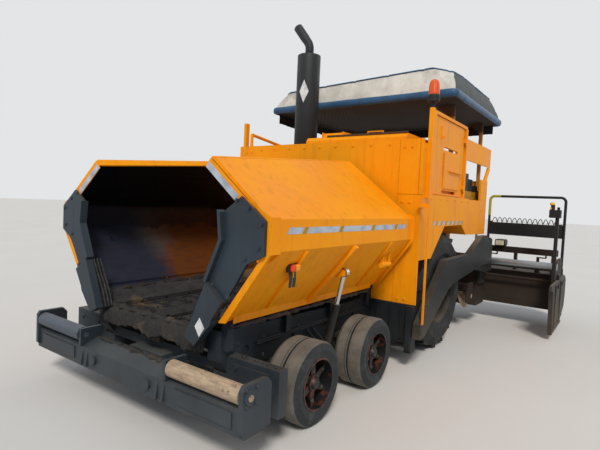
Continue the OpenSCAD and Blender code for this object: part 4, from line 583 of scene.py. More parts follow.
def on_wing_edge(sign, points, y):
    """Points given as (distance up the upper panel, depth under its outer face), as places at a station."""
    places = np.array([(1195.0, y, 1533.0) + s * up_wing + d * in_wing for s, d in points])
    places[:, 0] *= sign
    return mm(places)


for side_name, sign in (("left", 1.0), ("right", -1.0)):
    body = f"wing_{side_name}"
    slabs(f"wing_return_{side_name}", [on_wing_edge(sign, [(30, 13), (634, 13), (634, 86), (70, 86)], 352)],
          (0, 0.006, 0), body, yellow, 0.0015)
    slabs(f"wing_edge_sheeting_{side_name}", [on_wing_edge(sign, [(270, 37), (628, 37), (628, 84), (270, 84)],
                                                           350.6)], (0, 0.0012, 0), body, sheeting)
    strip(f"wing_strip_pale_{side_name}", sign, 1195.2, 1458, 44,
          [(570, 735), (790, 1205), (1262, 1728), (1790, 2190), (2252, 2440)], 14, body, sheeting)
    strip(f"wing_strip_olive_{side_name}", sign, 1195.2, 1458, 44,
          [(742, 783), (1212, 1255), (1735, 1783), (2197, 2245)], 14, body, olive)
    bolts(f"wing_plate_bolts_{side_name}",
          mm([(sign * x, 336, z) for x, z in ((905, 1015), (845, 925), (760, 1075), (700, 950), (660, 800))]),
          (0, -1, 0), body, slate, 1.3)

# A thin flange along each wing's lower edge
for side_name, sign in (("left", 1.0), ("right", -1.0)):
    body = f"wing_{side_name}"
    flange = [(836, 806), (840, 806), (840, 858), (836, 852)]
    slabs(f"wing_flange_{side_name}", [mm([(sign * x, 470, z) for x, z in flange])], (0, 1.985, 0), body, yellow)

# The blank white square that stands on its corner near the foot of the left plate
white_film, tree, shader = new_material("white_film_soiled")
white_film["slot"] = "dark_paint"
at = add(tree, "ShaderNodeTexCoord").outputs["Object"]
soil = add(tree, "ShaderNodeTexNoise", {"Vector": at, "Scale": 16.0, "Detail": 6.0, "Roughness": 0.7})
soil = add(tree, "ShaderNodeMapRange", {0: soil.outputs["Fac"], 1: 0.45, 2: 0.75})
film = add(tree, "ShaderNodeMix", {0: soil.outputs[0], 6: lin("#DFE2E4"), 7: lin("#9AA0A5")}, data_type="RGBA")
tree.links.new(film.outputs[2], shader.inputs["Base Color"])
shader.inputs["Roughness"].default_value = 0.5
slabs("blank_square_left", [mm([(696, 296.6, 722), (744, 296.6, 788), (696, 296.6, 852), (650, 296.6, 786)])],
      (0, 0.0012, 0), "wing_left", white_film)

# Rubber apron
# A thick rubber sheet hangs from the hopper floor's nose over the push beam; hot mix has caked it, and its
# free edge is torn.
rubber_crust = bitumen_crust("caked_rubber", "#161413", "#2B2825", "#7A6547", 0.008)
rubber_crust["slot"] = "rubber"
stations = 320
across = np.linspace(-0.636, 0.636, stations)
fall = np.array([(474, 718), (452, 716), (434, 704), (418, 676), (404, 640), (394, 604), (388, 568), (386, 520)])
run = np.concatenate([[0], np.cumsum(np.linalg.norm(np.diff(fall, axis=0), axis=1))])
reach = 0.60 + 0.22 * lumps(stations, 34, 11) + 0.08 * lumps(stations, 7, 14) + 0.04 * lumps(stations, 2, 12)
share = np.linspace(0, 1, 26)[None, :] * reach[:, None] * run[-1]
lay = np.interp(share, run, fall[:, 0])
high = np.interp(share, run, fall[:, 1])
relief = (lumps(stations * 26, 3, 13).reshape(stations, 26) - 0.5) * 9
outer = np.stack([np.broadcast_to(across[:, None] * 1000, lay.shape), lay - 5 - relief, high + 5 + relief], -1)
inner = np.stack([np.broadcast_to(across[:, None] * 1000, lay.shape), lay + 5, high - 5], -1)
loop = mm(np.concatenate([outer, inner[:, ::-1]], axis=1))
faces = grid_faces(stations, 52, around=True).tolist()
faces += [list(range(52))[::-1], [(stations - 1) * 52 + k for k in range(52)]]
apron = face_outward(surface("rubber_apron", loop, faces, "chassis", rubber_crust, True))
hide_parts("front_apron")


def crust_ridge(name, path, width, height, seed, body):
    """Caked mix along an edge: half an ellipse carried along the path, swelling by smooth random numbers,
    with each point shaken a little."""
    ends = mm(path)
    count = int(60 * np.linalg.norm(np.diff(ends, axis=0), axis=1).sum()) + 8
    steps = np.linspace(0, len(ends) - 1, count)
    spine = np.stack([np.interp(steps, np.arange(len(ends)), ends[:, k]) for k in range(3)], -1)
    along = np.gradient(spine, axis=0)
    along /= np.linalg.norm(along, axis=1)[:, None]
    sideways = np.cross(along, (0.0, 0.0, 1.0))
    swell = (0.25 + 0.9 * lumps(count, 3, seed)) * np.minimum(1, np.minimum(np.arange(count), np.arange(count)[::-1])
                                                              / 4 + 0.05)
    angle = np.linspace(-0.35, np.pi + 0.35, 13)
    shake = 1 + 0.35 * (np.random.default_rng(seed + 50).random((count, 13)) - 0.5)
    size = swell[:, None] * shake / 1000
    points = (spine[:, None] + (width / 2 * size * np.cos(angle))[..., None] * sideways[:, None]
              + (height * size * np.sin(angle))[..., None] * np.array([0.0, 0.0, 1.0]))
    faces = grid_faces(count, 13, around=True).tolist()
    faces += [list(range(13))[::-1], [(count - 1) * 13 + k for k in range(13)]]
    return face_outward(surface(name, points, faces, body, rubber_crust, True))


crust_ridge("crust_on_apron", [(-630, 452, 712), (630, 452, 712)], 70, 26, 21, "chassis")
crust_ridge("crust_floor_left", [(724, 470, 796), (724, 2150, 796)], 70, 30, 22, "chassis")
crust_ridge("crust_floor_right", [(-724, 470, 796), (-724, 2150, 796)], 70, 30, 23, "chassis")
crust_ridge("crust_under_wing_left", [(836, 480, 778), (836, 2440, 778)], 60, 26, 24, "wing_left")
crust_ridge("crust_under_wing_right", [(-836, 480, 778), (-836, 2440, 778)], 60, 26, 25, "wing_right")
crust_ridge("crust_on_beam", [(-560, 300, 468), (560, 300, 468)], 60, 20, 26, "push_beam")

# Loose crumbs of mix: a rough lump of twelve corners, repeated at random places, turns and sizes
golden = (1 + 5 ** 0.5) / 2
knob = np.array([(a, b * golden, 0) for a in (-1, 1) for b in (-1, 1)] + [(0, a, b * golden) for a in (-1, 1) for b in (-1, 1)]
                + [(a * golden, 0, b) for a in (-1, 1) for b in (-1, 1)], float) / 1.9
crumb_shell = bmesh.new()
for corner in knob:
    crumb_shell.verts.new(corner)
bmesh.ops.convex_hull(crumb_shell, input=crumb_shell.verts)
crumb_shell.verts.index_update()
knob = np.array([v.co for v in crumb_shell.verts])
knob_faces = np.array([[v.index for v in f.verts] for f in crumb_shell.faces])
crumb_shell.free()


def crumbs(name, count, low, high, size, seed, body):
    """Lumps scattered over a box: place, size and stretch drawn evenly."""
    draw = np.random.default_rng(seed)
    low, high = mm(low), mm(high)
    centres = low + (high - low) * draw.random((count, 3))
    sizes = size / 1000 * (0.35 + 0.65 * draw.random((count, 1, 3)) ** 2)
    shaken = knob[None] * (0.75 + 0.5 * draw.random((count, len(knob), 1)))
    points = centres[:, None] + sizes * shaken
    faces = (knob_faces[None] + len(knob) * np.arange(count)[:, None, None]).reshape(-1, 3).tolist()
    return face_outward(surface(name, points, faces, body, rubber_crust))


crumbs("crumbs_on_floor", 420, (-690, 470, 706), (690, 2300, 712), 16, 31, "chassis")
crumbs("crumbs_on_beam", 120, (-1150, 296, 470), (1150, 330, 473), 11, 32, "push_beam")
crumbs("crumbs_left_side", 22, (790, 520, 559), (1190, 585, 561), 13, 33, "chassis")

# Torn flaps
# Three layers of rubber belt hang behind the right plate's lower arm, curled and torn at their ends.
flaps, tree, shader = new_material("torn_rubber_belt")
flaps["slot"] = "rubber"
at = add(tree, "ShaderNodeTexCoord").outputs["Object"]
scuff = add(tree, "ShaderNodeTexNoise", {"Vector": at, "Scale": 24.0, "Detail": 8.0, "Roughness": 0.7})
scuffed = add(tree, "ShaderNodeMapRange", {0: scuff.outputs["Fac"], 1: 0.45, 2: 0.7})
tone = add(tree, "ShaderNodeMix", {0: scuffed.outputs[0], 6: lin("#1B1B1D"), 7: lin("#3F3D3B")}, data_type="RGBA")
tree.links.new(tone.outputs[2], shader.inputs["Base Color"])
shader.inputs["Roughness"].default_value = 0.7
ply = add(tree, "ShaderNodeBump", {"Height": scuff.outputs["Fac"], "Strength": 0.5, "Distance": 0.004})
tree.links.new(ply.outputs[0], shader.inputs["Normal"])
for side_name, sign in (("left", 1.0), ("right", -1.0)):
    for layer in range(3):
        rows = np.linspace(0, 1, 40)
        hem = 8 * lumps(40, 3, 41 + layer)
        inner_edge = np.stack([540 + 190 * rows - 12 * layer - hem, np.full(40, 372 + 22 * layer) + 6 * np.sin(5 * rows),
                               706 + 384 * rows], -1)
        width = np.linspace(0, 1, 6)[None, :, None] * np.array([70.0, 0.0, -32.0])
        front = inner_edge[:, None] + width
        back = front + (0.0, 9.0, 0.0)
        loop = np.concatenate([front, back[:, ::-1]], axis=1) * (sign, 1, 1)
        faces = grid_faces(40, 12, around=True).tolist() + [list(range(12))[::-1], [39 * 12 + k for k in range(12)]]
        face_outward(surface(f"torn_flap_{side_name}_{layer + 1}", mm(loop), faces, f"wing_{side_name}", flaps, True))

# Marker lamps
# An amber marker lamp on each wing's bracket, in a black surround, over two hanging rubber tongues.
amber, tree, shader = new_material("amber_polycarbonate")
amber["slot"] = "lamp"
at = add(tree, "ShaderNodeTexCoord").outputs["Object"]
prism = add(tree, "ShaderNodeTexWave", {"Vector": at, "Scale": 55.0, "Distortion": 0.0}, bands_direction="Z")
glow = add(tree, "ShaderNodeMix", {0: prism.outputs["Fac"], 6: lin("#C83C08"), 7: lin("#EE6A12")},
           data_type="RGBA")
tree.links.new(glow.outputs[2], shader.inputs["Base Color"])
shader.inputs["Roughness"].default_value = 0.22
shader.inputs["IOR"].default_value = 1.58
shader.inputs["Specular IOR Level"].default_value = 0.3
ridge = add(tree, "ShaderNodeBump", {"Height": prism.outputs["Fac"], "Strength": 0.3, "Distance": 0.002})
tree.links.new(ridge.outputs[0], shader.inputs["Normal"])
marker, tree, shader = new_material("marker_lens_amber_and_red")
marker["slot"] = "lamp"
at = add(tree, "ShaderNodeTexCoord").outputs["Object"]
station = add(tree, "ShaderNodeSeparateXYZ", {0: at})
reddish = add(tree, "ShaderNodeMath", {0: station.outputs[1], 1: -2.527}, operation="LESS_THAN")
prism = add(tree, "ShaderNodeTexWave", {"Vector": at, "Scale": 70.0, "Distortion": 0.0}, bands_direction="Z")
pale = add(tree, "ShaderNodeMix", {0: prism.outputs["Fac"], 6: lin("#EE8A08"), 7: lin("#FFAE20")},
           data_type="RGBA")
glow = add(tree, "ShaderNodeMix", {0: reddish.outputs[0], 6: pale.outputs[2], 7: lin("#E04A10")}, data_type="RGBA")
tree.links.new(glow.outputs[2], shader.inputs["Base Color"])
shader.inputs["Roughness"].default_value = 0.3
shader.inputs["Specular IOR Level"].default_value = 0.25
for side_name, sign in (("left", 1.0), ("right", -1.0)):
    body = f"wing_{side_name}"
    spans = [((1096, 690, 1166), (1122, 800, 1228))]
    boxed = [[np.minimum(sign * a[0], sign * b[0]), a[1], a[2], np.maximum(sign * a[0], sign * b[0]), b[1], b[2]]
             for a, b in spans]
    blocks(f"marker_surround_{side_name}", [(mm(q[:3]), mm(q[3:])) for q in boxed], body, black, 0.006)
    lens = [sorted((sign * 1122, sign * 1150)), (698, 792), (1172, 1222)]
    blocks(f"marker_lens_{side_name}", [(mm([q[0] for q in lens]), mm([q[1] for q in lens]))], body, marker, 0.012)
    for number, y in ((1, 722), (2, 764)):
        rows = np.linspace(0, 1, 14)
        spine = np.stack([sign * (1108 + 6 * np.sin(3 * rows)), np.full(14, y), 1166 - 105 * rows], -1)
        half = np.stack([np.zeros(14), 17 - 4 * rows, np.zeros(14)], -1)
        front = np.stack([spine - half, spine + half], 1)
        back = front[:, ::-1] + (sign * 6.0, 0.0, 0.0)
        loop = np.concatenate([front, back], axis=1)
        faces = grid_faces(14, 4, around=True).tolist() + [[3, 2, 1, 0], [52, 53, 54, 55]]
        face_outward(surface(f"marker_tongue_{side_name}_{number}", mm(loop), faces, body, flaps, True))

# Wing cylinders
# Black barrels on the frame's brackets, with hard-chromed rods up to the wings' lugs.
chrome, tree, shader = new_material("hard_chrome_plating")
shader.inputs["Base Color"].default_value = lin("#C9CCD0")
shader.inputs["Metallic"].default_value = 1.0
at = add(tree, "ShaderNodeTexCoord").outputs["Object"]
smear = add(tree, "ShaderNodeTexNoise", {"Vector": at, "Scale": 35.0, "Detail": 4.0})
gloss = add(tree, "ShaderNodeMapRange", {0: smear.outputs["Fac"], 1: 0.4, 2: 0.7, 3: 0.12, 4: 0.4})
tree.links.new(gloss.outputs[0], shader.inputs["Roughness"])
chrome["slot"] = "chrome"
dress(chrome, "wing_rod_left", "wing_rod_right", "lift_rods")
dress(black, "wing_barrel_left", "wing_barrel_right", "lift_barrels")

# Front wheels
# Solid rubber twins, worn smooth and grey-brown with yard dust on the tread, black on the walls, on
# black star hubs that show some red primer between the arms.


def rolling(name, x, y, z, rim, width, tread, wall, hub):
    """Tyre and hub in one finish, split by the distance from the wheel's own axle: hub colour inside the
    rim radius, wall colour outside it, and dusty tread colour on faces that look away from the axle."""
    m, tree, shader = new_material(name)
    place = add(tree, "ShaderNodeTexCoord")
    at = add(tree, "ShaderNodeMapping", {"Vector": place.outputs["Object"], "Location": (-x, -y, -z)})
    flat = add(tree, "ShaderNodeVectorMath", {0: at.outputs[0], 1: (0.0, 1.0, 1.0)}, operation="MULTIPLY")
    far = add(tree, "ShaderNodeVectorMath", {0: flat.outputs[0]}, operation="LENGTH")
    split = add(tree, "ShaderNodeSeparateXYZ", {0: place.outputs["Normal"]})
    across = add(tree, "ShaderNodeMath", {0: split.outputs[0]}, operation="ABSOLUTE")
    on_tread = add(tree, "ShaderNodeMapRange", {0: across.outputs[0], 1: 0.75, 2: 0.35})
    slow = add(tree, "ShaderNodeTexNoise", {"Vector": place.outputs["Object"], "Scale": 7.0, "Detail": 6.0,
                                            "Roughness": 0.7})
    dust = add(tree, "ShaderNodeMapRange", {0: slow.outputs["Fac"], 1: 0.3, 2: 0.65, 3: 0.45, 4: 1.0})
    dusted = add(tree, "ShaderNodeMath", {0: on_tread.outputs[0], 1: dust.outputs[0]}, operation="MULTIPLY")
    colour = add(tree, "ShaderNodeMix", {0: dusted.outputs[0], 6: lin(wall), 7: lin(tread)},
                 data_type="RGBA")
    fog = add(tree, "ShaderNodeMapRange", {0: slow.outputs["Fac"], 1: 0.5, 2: 0.75, 3: 0.0, 4: 0.35})
    colour = add(tree, "ShaderNodeMix", {0: fog.outputs[0], 6: colour.outputs[2], 7: lin("#6E6B66")},
                 data_type="RGBA")
    on_hub = add(tree, "ShaderNodeMath", {0: far.outputs["Value"], 1: rim}, operation="LESS_THAN")
    primer = add(tree, "ShaderNodeTexNoise", {"Vector": place.outputs["Object"], "Scale": 14.0, "Detail": 3.0})
    bare = add(tree, "ShaderNodeMapRange", {0: primer.outputs["Fac"], 1: 0.52, 2: 0.62, 3: 0.0, 4: 0.8})
    hub_paint = add(tree, "ShaderNodeMix", {0: bare.outputs[0], 6: lin(hub), 7: lin("#5B2A1C")},
                    data_type="RGBA")
    colour = add(tree, "ShaderNodeMix", {0: on_hub.outputs[0], 6: colour.outputs[2],
                                         7: hub_paint.outputs[2]}, data_type="RGBA")
    tree.links.new(colour.outputs[2], shader.inputs["Base Color"])
    gloss = add(tree, "ShaderNodeMapRange", {0: on_hub.outputs[0], 3: 0.85, 4: 0.5})
    tree.links.new(gloss.outputs[0], shader.inputs["Roughness"])
    nicks = add(tree, "ShaderNodeTexVoronoi", {"Vector": place.outputs["Object"], "Scale": 38.0})
    fine = add(tree, "ShaderNodeTexNoise", {"Vector": place.outputs["Object"], "Scale": 90.0, "Detail": 4.0})
    relief = add(tree, "ShaderNodeMath", {0: nicks.outputs["Distance"], 1: 0.4, 2: fine.outputs["Fac"]},
                 operation="MULTIPLY_ADD")
    bump = add(tree, "ShaderNodeBump", {"Height": relief.outputs[0], "Strength": 0.3, "Distance": 0.004})
    tree.links.new(bump.outputs[0], shader.inputs["Normal"])
    return m


for side_name, sign in (("left", 1.0), ("right", -1.0)):
    for number, station in ((1, 1.038), (2, 1.989)):
        node = f"front_wheel_{side_name}_{number}"
        dress(rolling(f"front_rubber_{side_name}_{number}", sign * 1.045, station - 3.265, 0.312, 0.196, 0.30,
                      "#777268", "#22272B", "#121315"), node)

for side_name, sign in (("left", 1.0), ("right", -1.0)):
    for number, station in ((1, 1038), (2, 1989)):
        turn = np.radians(60 * np.arange(6))
        ring = np.stack([np.full(6, sign * 1130.0), station + 140 * np.sin(turn), 312 - 140 * np.cos(turn)], -1)
        bolts(f"hub_nuts_{side_name}_{number}", mm(ring), (sign, 0, 0), f"front_wheel_{side_name}_{number}",
              black, 1.1)
        inner_ring = np.stack([np.full(6, sign * 1143.0), station + 53 * np.sin(turn + 0.5),
                               312 - 53 * np.cos(turn + 0.5)], -1)
        bolts(f"cap_nuts_{side_name}_{number}", mm(inner_ring), (sign, 0, 0), f"front_wheel_{side_name}_{number}",
              black, 0.5)

for side_name, sign in (("left", 1.0), ("right", -1.0)):
    for number, station in ((1, 1038), (2, 1989)):
        turn = 2 * np.pi * np.arange(64) / 64
        for twin, flip in ((1, 1), (2, -1)):
            section = np.array([(311, 29), (311.5, 8), (305, 5), (276, 6), (274, 12)])
            points = np.stack([np.broadcast_to(sign * 1045 + flip * section[:, 1], (64, 5)),
                               station + section[:, 0] * np.cos(turn)[:, None],
                               312 + section[:, 0] * np.sin(turn)[:, None]], -1)
            points[..., 2] = np.maximum(points[..., 2], 1.0)
            node = f"front_wheel_{side_name}_{number}"
            ring = surface(f"tyre_shoulder_{side_name}_{number}_{twin}", mm(points),
                           grid_faces(64, 5, around=True, along=True).tolist(), node,
                           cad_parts[node].data.materials[0], True)
            face_outward(ring)

# Rear wheels
# Large lugged drive tyres, rubber black with dust in the tread, on pressed black rims.
for side_name, sign in (("left", 1.0), ("right", -1.0)):
    dress(rolling(f"rear_rubber_{side_name}", sign * 1.005, 3.6 - 3.265, 0.686, 0.30, 0.44,
                  "#353431", "#17191B", "#0E0F10"), f"rear_tyre_{side_name}")
dress(black, "rear_rim_left", "rear_rim_right")

# Exhaust
# A long steel muffler in heat-proof black, a little burnt at the collar and the outlet.
stack = painted_plate("heatproof_black_paint", "#1B1D20", "#2A2D30", "#0F1011", "#6B4A33", rough=0.38,
                      streaks=0.3, dusty=0.2, worn=0.5)
muffler = turned("muffler_can", [(0.108, 2.2703), (0.108, 2.36), (0.143, 2.361), (0.145, 2.366), (0.145, 3.482),
                                 (0.143, 3.488), (0.062, 3.4885), (0.060, 3.50), (0.056, 3.501)],
                 mm([(-450, 3000, 0)]), (0, 0, 1), "chassis", stack, 56)
for polygon in muffler.data.polygons:
    polygon.use_smooth = abs(polygon.normal.z) < 0.3
bend = np.radians(np.linspace(0, 38, 16))
path = np.concatenate([[(-450, 3000, 3460), (-450, 3000, 3560)],
                       np.stack([-450 - 150 * (1 - np.cos(bend)), np.full(16, 3000), 3575 + 150 * np.sin(bend)], -1)])
tip = path[-1] + np.linspace(0.1, 1, 6)[:, None] * 262 * np.array([-math.sin(bend[-1]), 0.0, math.cos(bend[-1])])
path = np.concatenate([path, tip])
pipe = tube("exhaust_pipe", mm(path), np.r_[np.full(len(path) - 5, 0.053), np.full(5, 0.057)], "chassis", stack, 32,
            False, (0.0, 1.0, 0.0))
cover_ring = tube("exhaust_pipe_mouth", mm(path[-2:] + (path[-1] - path[-2]) * 0.02), 0.046, "chassis", soot, 24,
                  False, (0.0, 1.0, 0.0))
for part in (muffler, pipe, cover_ring):
    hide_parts("exhaust_stack")

# The blank white diamond on the muffler, a film bent round it
rows = np.linspace(-1, 1, 31)
spread = np.linspace(-1, 1, 9)
turn = math.radians(-74) + (1 - np.abs(rows))[:, None] * spread[None, :] * (0.061 / 0.1465)
film_grid = np.stack([-450 + 146.5 * np.cos(turn), 3000 + 146.5 * np.sin(turn),
                      np.broadcast_to(3020 + 140 * rows[:, None], turn.shape)], -1)
surface("blank_diamond_on_stack", mm(film_grid), grid_faces(31, 9).tolist(), "chassis", white_film, True)

# Screed
# The screed and its extensions: steel plate stained brown by hot bitumen, matt and patchy; its base is darkened to
# near-black as painted shade for the shadowed front faces.
brown = painted_plate("bitumen_stained_steel_with_painted_shade", "#1C1613", "#33241C", "#0C0A09", "#5E4335", rough=0.6,
                      streaks=0.7, dusty=0.14, worn=0.4)
brown["slot"] = "screed_steel"
dress(brown, "screed_body", "auger_frame")

# The same steel and painted shade on the extensions, with their guide tubes ground bright
guided = painted_plate("extension_steel_with_painted_shade_and_bright_tube", "#1C1613", "#33241C", "#0C0A09", "#5E4335", rough=0.6,
                       streaks=0.7, dusty=0.12, worn=0.4)
guided["slot"] = "screed_steel"
tree = guided.node_tree
shader = next(n for n in tree.nodes if n.type == "BSDF_PRINCIPLED")
coat = shader.inputs["Base Color"].links[0].from_socket
at = add(tree, "ShaderNodeTexCoord").outputs["Object"]
off_axis = add(tree, "ShaderNodeVectorMath", {0: at, 1: (0.0, 3.265 - 5.527, -0.9)}, operation="ADD")
off_axis = add(tree, "ShaderNodeVectorMath", {0: off_axis.outputs[0], 1: (0.0, 1.0, 1.0)}, operation="MULTIPLY")
off_axis = add(tree, "ShaderNodeVectorMath", {0: off_axis.outputs[0]}, operation="LENGTH")
bright = add(tree, "ShaderNodeMath", {0: off_axis.outputs["Value"], 1: 0.0545}, operation="LESS_THAN")
coat = add(tree, "ShaderNodeMix", {0: bright.outputs[0], 6: coat, 7: lin("#9BA0A4")}, data_type="RGBA")
tree.links.new(coat.outputs[2], shader.inputs["Base Color"])
metal = add(tree, "ShaderNodeMath", {0: bright.outputs[0], 1: 0.85}, operation="MULTIPLY")
tree.links.new(metal.outputs[0], shader.inputs["Metallic"])
dull = shader.inputs["Roughness"].links[0].from_socket
dull = add(tree, "ShaderNodeMix", {0: bright.outputs[0], 2: dull, 3: 0.28})
tree.links.new(dull.outputs[0], shader.inputs["Roughness"])
dress(guided, "extension_left", "extension_right")

# Auger flights
# Hard cast flights wind round each shaft, rubbed bright brown by the mix.
for side_name, sign in (("left", 1.0), ("right", -1.0)):
    body = f"auger_{side_name}"
    turn = np.linspace(0, 8 * np.pi, 4 * 40 + 1)
    section = np.array([(42, -9), (168, -5), (168, 5), (42, 9)])
    reach = section[:, 0][None, :]
    x = 62 + 277.5 * turn[:, None] / (2 * np.pi) + section[:, 1][None, :]
    flight = np.stack([sign * x, 4785 + reach * np.sin(turn)[:, None], 450 - reach * np.cos(turn)[:, None]], -1)
    faces = grid_faces(len(turn), 4, around=True).tolist() + [[3, 2, 1, 0], [4 * 160, 4 * 160 + 1, 4 * 160 + 2,
                                                                            4 * 160 + 3]]
    blades = face_outward(surface(f"auger_flight_{side_name}", mm(flight), faces, body, tan_steel))
    shaft = turned(f"auger_shaft_{side_name}", [(0.03, 0.004), (0.03, 0.045), (0.045, 0.046), (0.045, 1.19),
                                                (0.03, 1.191), (0.03, 1.236)], mm([(0, 4785, 450)]), (sign, 0, 0),
                   body, tan_steel, 32, True)
    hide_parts(body)
    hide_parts(body)

# Screed fittings
# A dark instrument box with a pale front stands at the tow arm's tail, and bolts hold the covers.
cream = painted_plate("cream_lens_panel", "#C9C6AC", "#D8D5C2", "#6E6B5A", "#77725F", rough=0.3)
cream["slot"] = "screed_steel"
for side_name, sign in (("left", 1.0), ("right", -1.0)):
    box = [sorted((sign * 1268, sign * 1420)), (5760, 5960), (1112, 1216)]
    face = [sorted((sign * 1284, sign * 1404)), (5752, 5766), (1128, 1200)]
    blocks(f"tail_box_{side_name}", [(mm([q[0] for q in box]), mm([q[1] for q in box]))], f"extension_{side_name}",
           black, 0.02)
    blocks(f"tail_box_front_{side_name}", [(mm([q[0] for q in face]), mm([q[1] for q in face]))],
           f"extension_{side_name}", cream, 0.006)
    bolts(f"end_plate_bolts_{side_name}",
          mm([(sign * 2204, y, z) for y in (5000, 5340, 5560, 6050) for z in (150, 655)]), (sign, 0, 0),
          f"end_plate_{side_name}", black)
bolts("screed_bolts", mm([(s * x, y, 806) for s in (-1, 1) for x in (285, 575, 645, 935) for y in (5130, 5410)]),
      (0, 0, 1), "screed", brown)

# Operator station
# Vinyl seats on steel boxes under the canopy.
vinyl, tree, shader = new_material("black_grained_vinyl")
vinyl["slot"] = "seat"
at = add(tree, "ShaderNodeTexCoord").outputs["Object"]
grain = add(tree, "ShaderNodeTexVoronoi", {"Vector": at, "Scale": 420.0})
creases = add(tree, "ShaderNodeTexNoise", {"Vector": at, "Scale": 14.0, "Detail": 5.0})
greyed = add(tree, "ShaderNodeMapRange", {0: creases.outputs["Fac"], 1: 0.4, 2: 0.7})
tone = add(tree, "ShaderNodeMix", {0: greyed.outputs[0], 6: lin("#1C1C1E"), 7: lin("#343331")}, data_type="RGBA")
tree.links.new(tone.outputs[2], shader.inputs["Base Color"])
shader.inputs["Roughness"].default_value = 0.48
skin_bump = add(tree, "ShaderNodeBump", {"Height": grain.outputs["Distance"], "Strength": 0.3, "Distance": 0.0008})
tree.links.new(skin_bump.outputs[0], shader.inputs["Normal"])


def cushion(name, low, high, lean, crown, channels, material):
    """A padded cushion between two corners: a rounded box whose plan pulls in between its corners, with its
    top raised by a crown and pressed down along sewn channels; lean shifts it back as it rises."""
    u = np.linspace(0, 2 * np.pi, 97)[:-1]
    v = np.linspace(-np.pi / 2, np.pi / 2, 41)
    side = np.sign(np.cos(u)) * np.abs(np.cos(u)) ** 0.32
    front = np.sign(np.sin(u)) * np.abs(np.sin(u)) ** 0.32
    belly = np.abs(np.cos(v)) ** 0.36
    rise = np.sign(np.sin(v)) * np.abs(np.sin(v)) ** 0.6
    pinch = 1 - 0.035 * np.cos(2 * u) ** 2
    x = belly[:, None] * side * pinch
    y = belly[:, None] * front * pinch
    z = np.broadcast_to(rise[:, None], x.shape)
    thick = (1 - x ** 2) * (1 - y ** 2)
    sewn = sum(np.exp(-((y - c) / 0.035) ** 2) for c in channels) if channels else 0
    z = z * (1 + crown * thick) - 0.22 * sewn * (z > 0.2) * (1 - x ** 4)
    middle, half = (np.array(low) + high) / 2, (np.array(high) - low) / 2
    points = middle + np.stack([x, y, np.clip(z, -1.0, 1.0 + crown)], -1) * half
    points[..., 1] += lean * (points[..., 2] - low[2])
    faces = grid_faces(41, 96, around=True).tolist()
    pad = surface(name, mm(points), faces, "chassis", material, True)
    merged = bmesh.new()
    merged.from_mesh(pad.data)
    bmesh.ops.remove_doubles(merged, verts=merged.verts, dist=0.0002)
    bmesh.ops.recalc_face_normals(merged, faces=merged.faces)
    merged.to_mesh(pad.data)
    merged.free()
    return pad


for side_name, sign in (("left", 1.0), ("right", -1.0)):
    x0, x1 = sorted((sign * 594, sign * 986))
    seat = cushion(f"seat_cushion_{side_name}", (x0, 4556, 1762), (x1, 4976, 1848), 0.0, 0.22, (-0.35, 0.35), vinyl)
    back = cushion(f"seat_back_{side_name}", (x0, 4896, 1866), (x1, 4976, 2292), 0.16, 0.02, (), vinyl)
    a, b = sorted((sign * 680, sign * 900))
    arms = [((c, 4660, 1990), (d, 4920, 2028)) for c, d in (sorted((sign * 540, sign * 586)),
                                                            sorted((sign * 994, sign * 1040)))]
    posts_of_arms = [((c, 4852, 1800), (d, 4888, 1989)) for c, d in (sorted((sign * 553, sign * 573)),
                                                                     sorted((sign * 1007, sign * 1027)))]
    frame_of_seat = blocks(f"seat_frame_{side_name}", [(mm(p), mm(q)) for p, q in
                                                       [((a, 4650, 1560.3), (b, 4880, 1758))] + arms
                                                       + posts_of_arms], "chassis", black, 0.012)
    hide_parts("operator_seats")
    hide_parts("operator_seats")
    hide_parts("operator_seats")

# Oil filters
# A mustard cabinet with black filters and a black filter box stands behind the left rail.
mustard = painted_plate("mustard_cabinet_enamel", "#A87A14", "#B98A22", "#4A3A18", "#4E3B28", rough=0.5, worn=0.7)
tree = mustard.node_tree
shader = next(n for n in tree.nodes if n.type == "BSDF_PRINCIPLED")
coat = shader.inputs["Base Color"].links[0].from_socket
height = add(tree, "ShaderNodeSeparateXYZ", {0: add(tree, "ShaderNodeTexCoord").outputs["Object"]})
above = add(tree, "ShaderNodeMath", {0: height.outputs[2], 1: 1.9}, operation="GREATER_THAN")
coat = add(tree, "ShaderNodeMix", {0: above.outputs[0], 6: coat, 7: lin("#1B1C1F")}, data_type="RGBA")
tree.links.new(coat.outputs[2], shader.inputs["Base Color"])
dress(mustard, "oil_filters")

# Canopy
# Rusty posts and rails carry a weathered moulded roof, beige along its fascia and painted near-black underneath as
# shade, with a blue tube as trim round the lower edge.
posts = painted_plate("canopy_post_paint_rusted", "#C98A2A", "#B4773A", "#6A4526", "#5B3826", rough=0.6,
                      streaks=0.8, dusty=0.2, worn=0.8)
tree = posts.node_tree
shader = next(n for n in tree.nodes if n.type == "BSDF_PRINCIPLED")
coat = shader.inputs["Base Color"].links[0].from_socket
height = add(tree, "ShaderNodeSeparateXYZ", {0: add(tree, "ShaderNodeTexCoord").outputs["Object"]})
dark_head = add(tree, "ShaderNodeMapRange", {0: height.outputs[2], 1: 2.74, 2: 2.78, 3: 0.0, 4: 0.88})
coat = add(tree, "ShaderNodeMix", {0: dark_head.outputs[0], 6: coat, 7: lin("#1A1816")}, data_type="RGBA")
tree.links.new(coat.outputs[2], shader.inputs["Base Color"])
dress(posts, "canopy_frame")


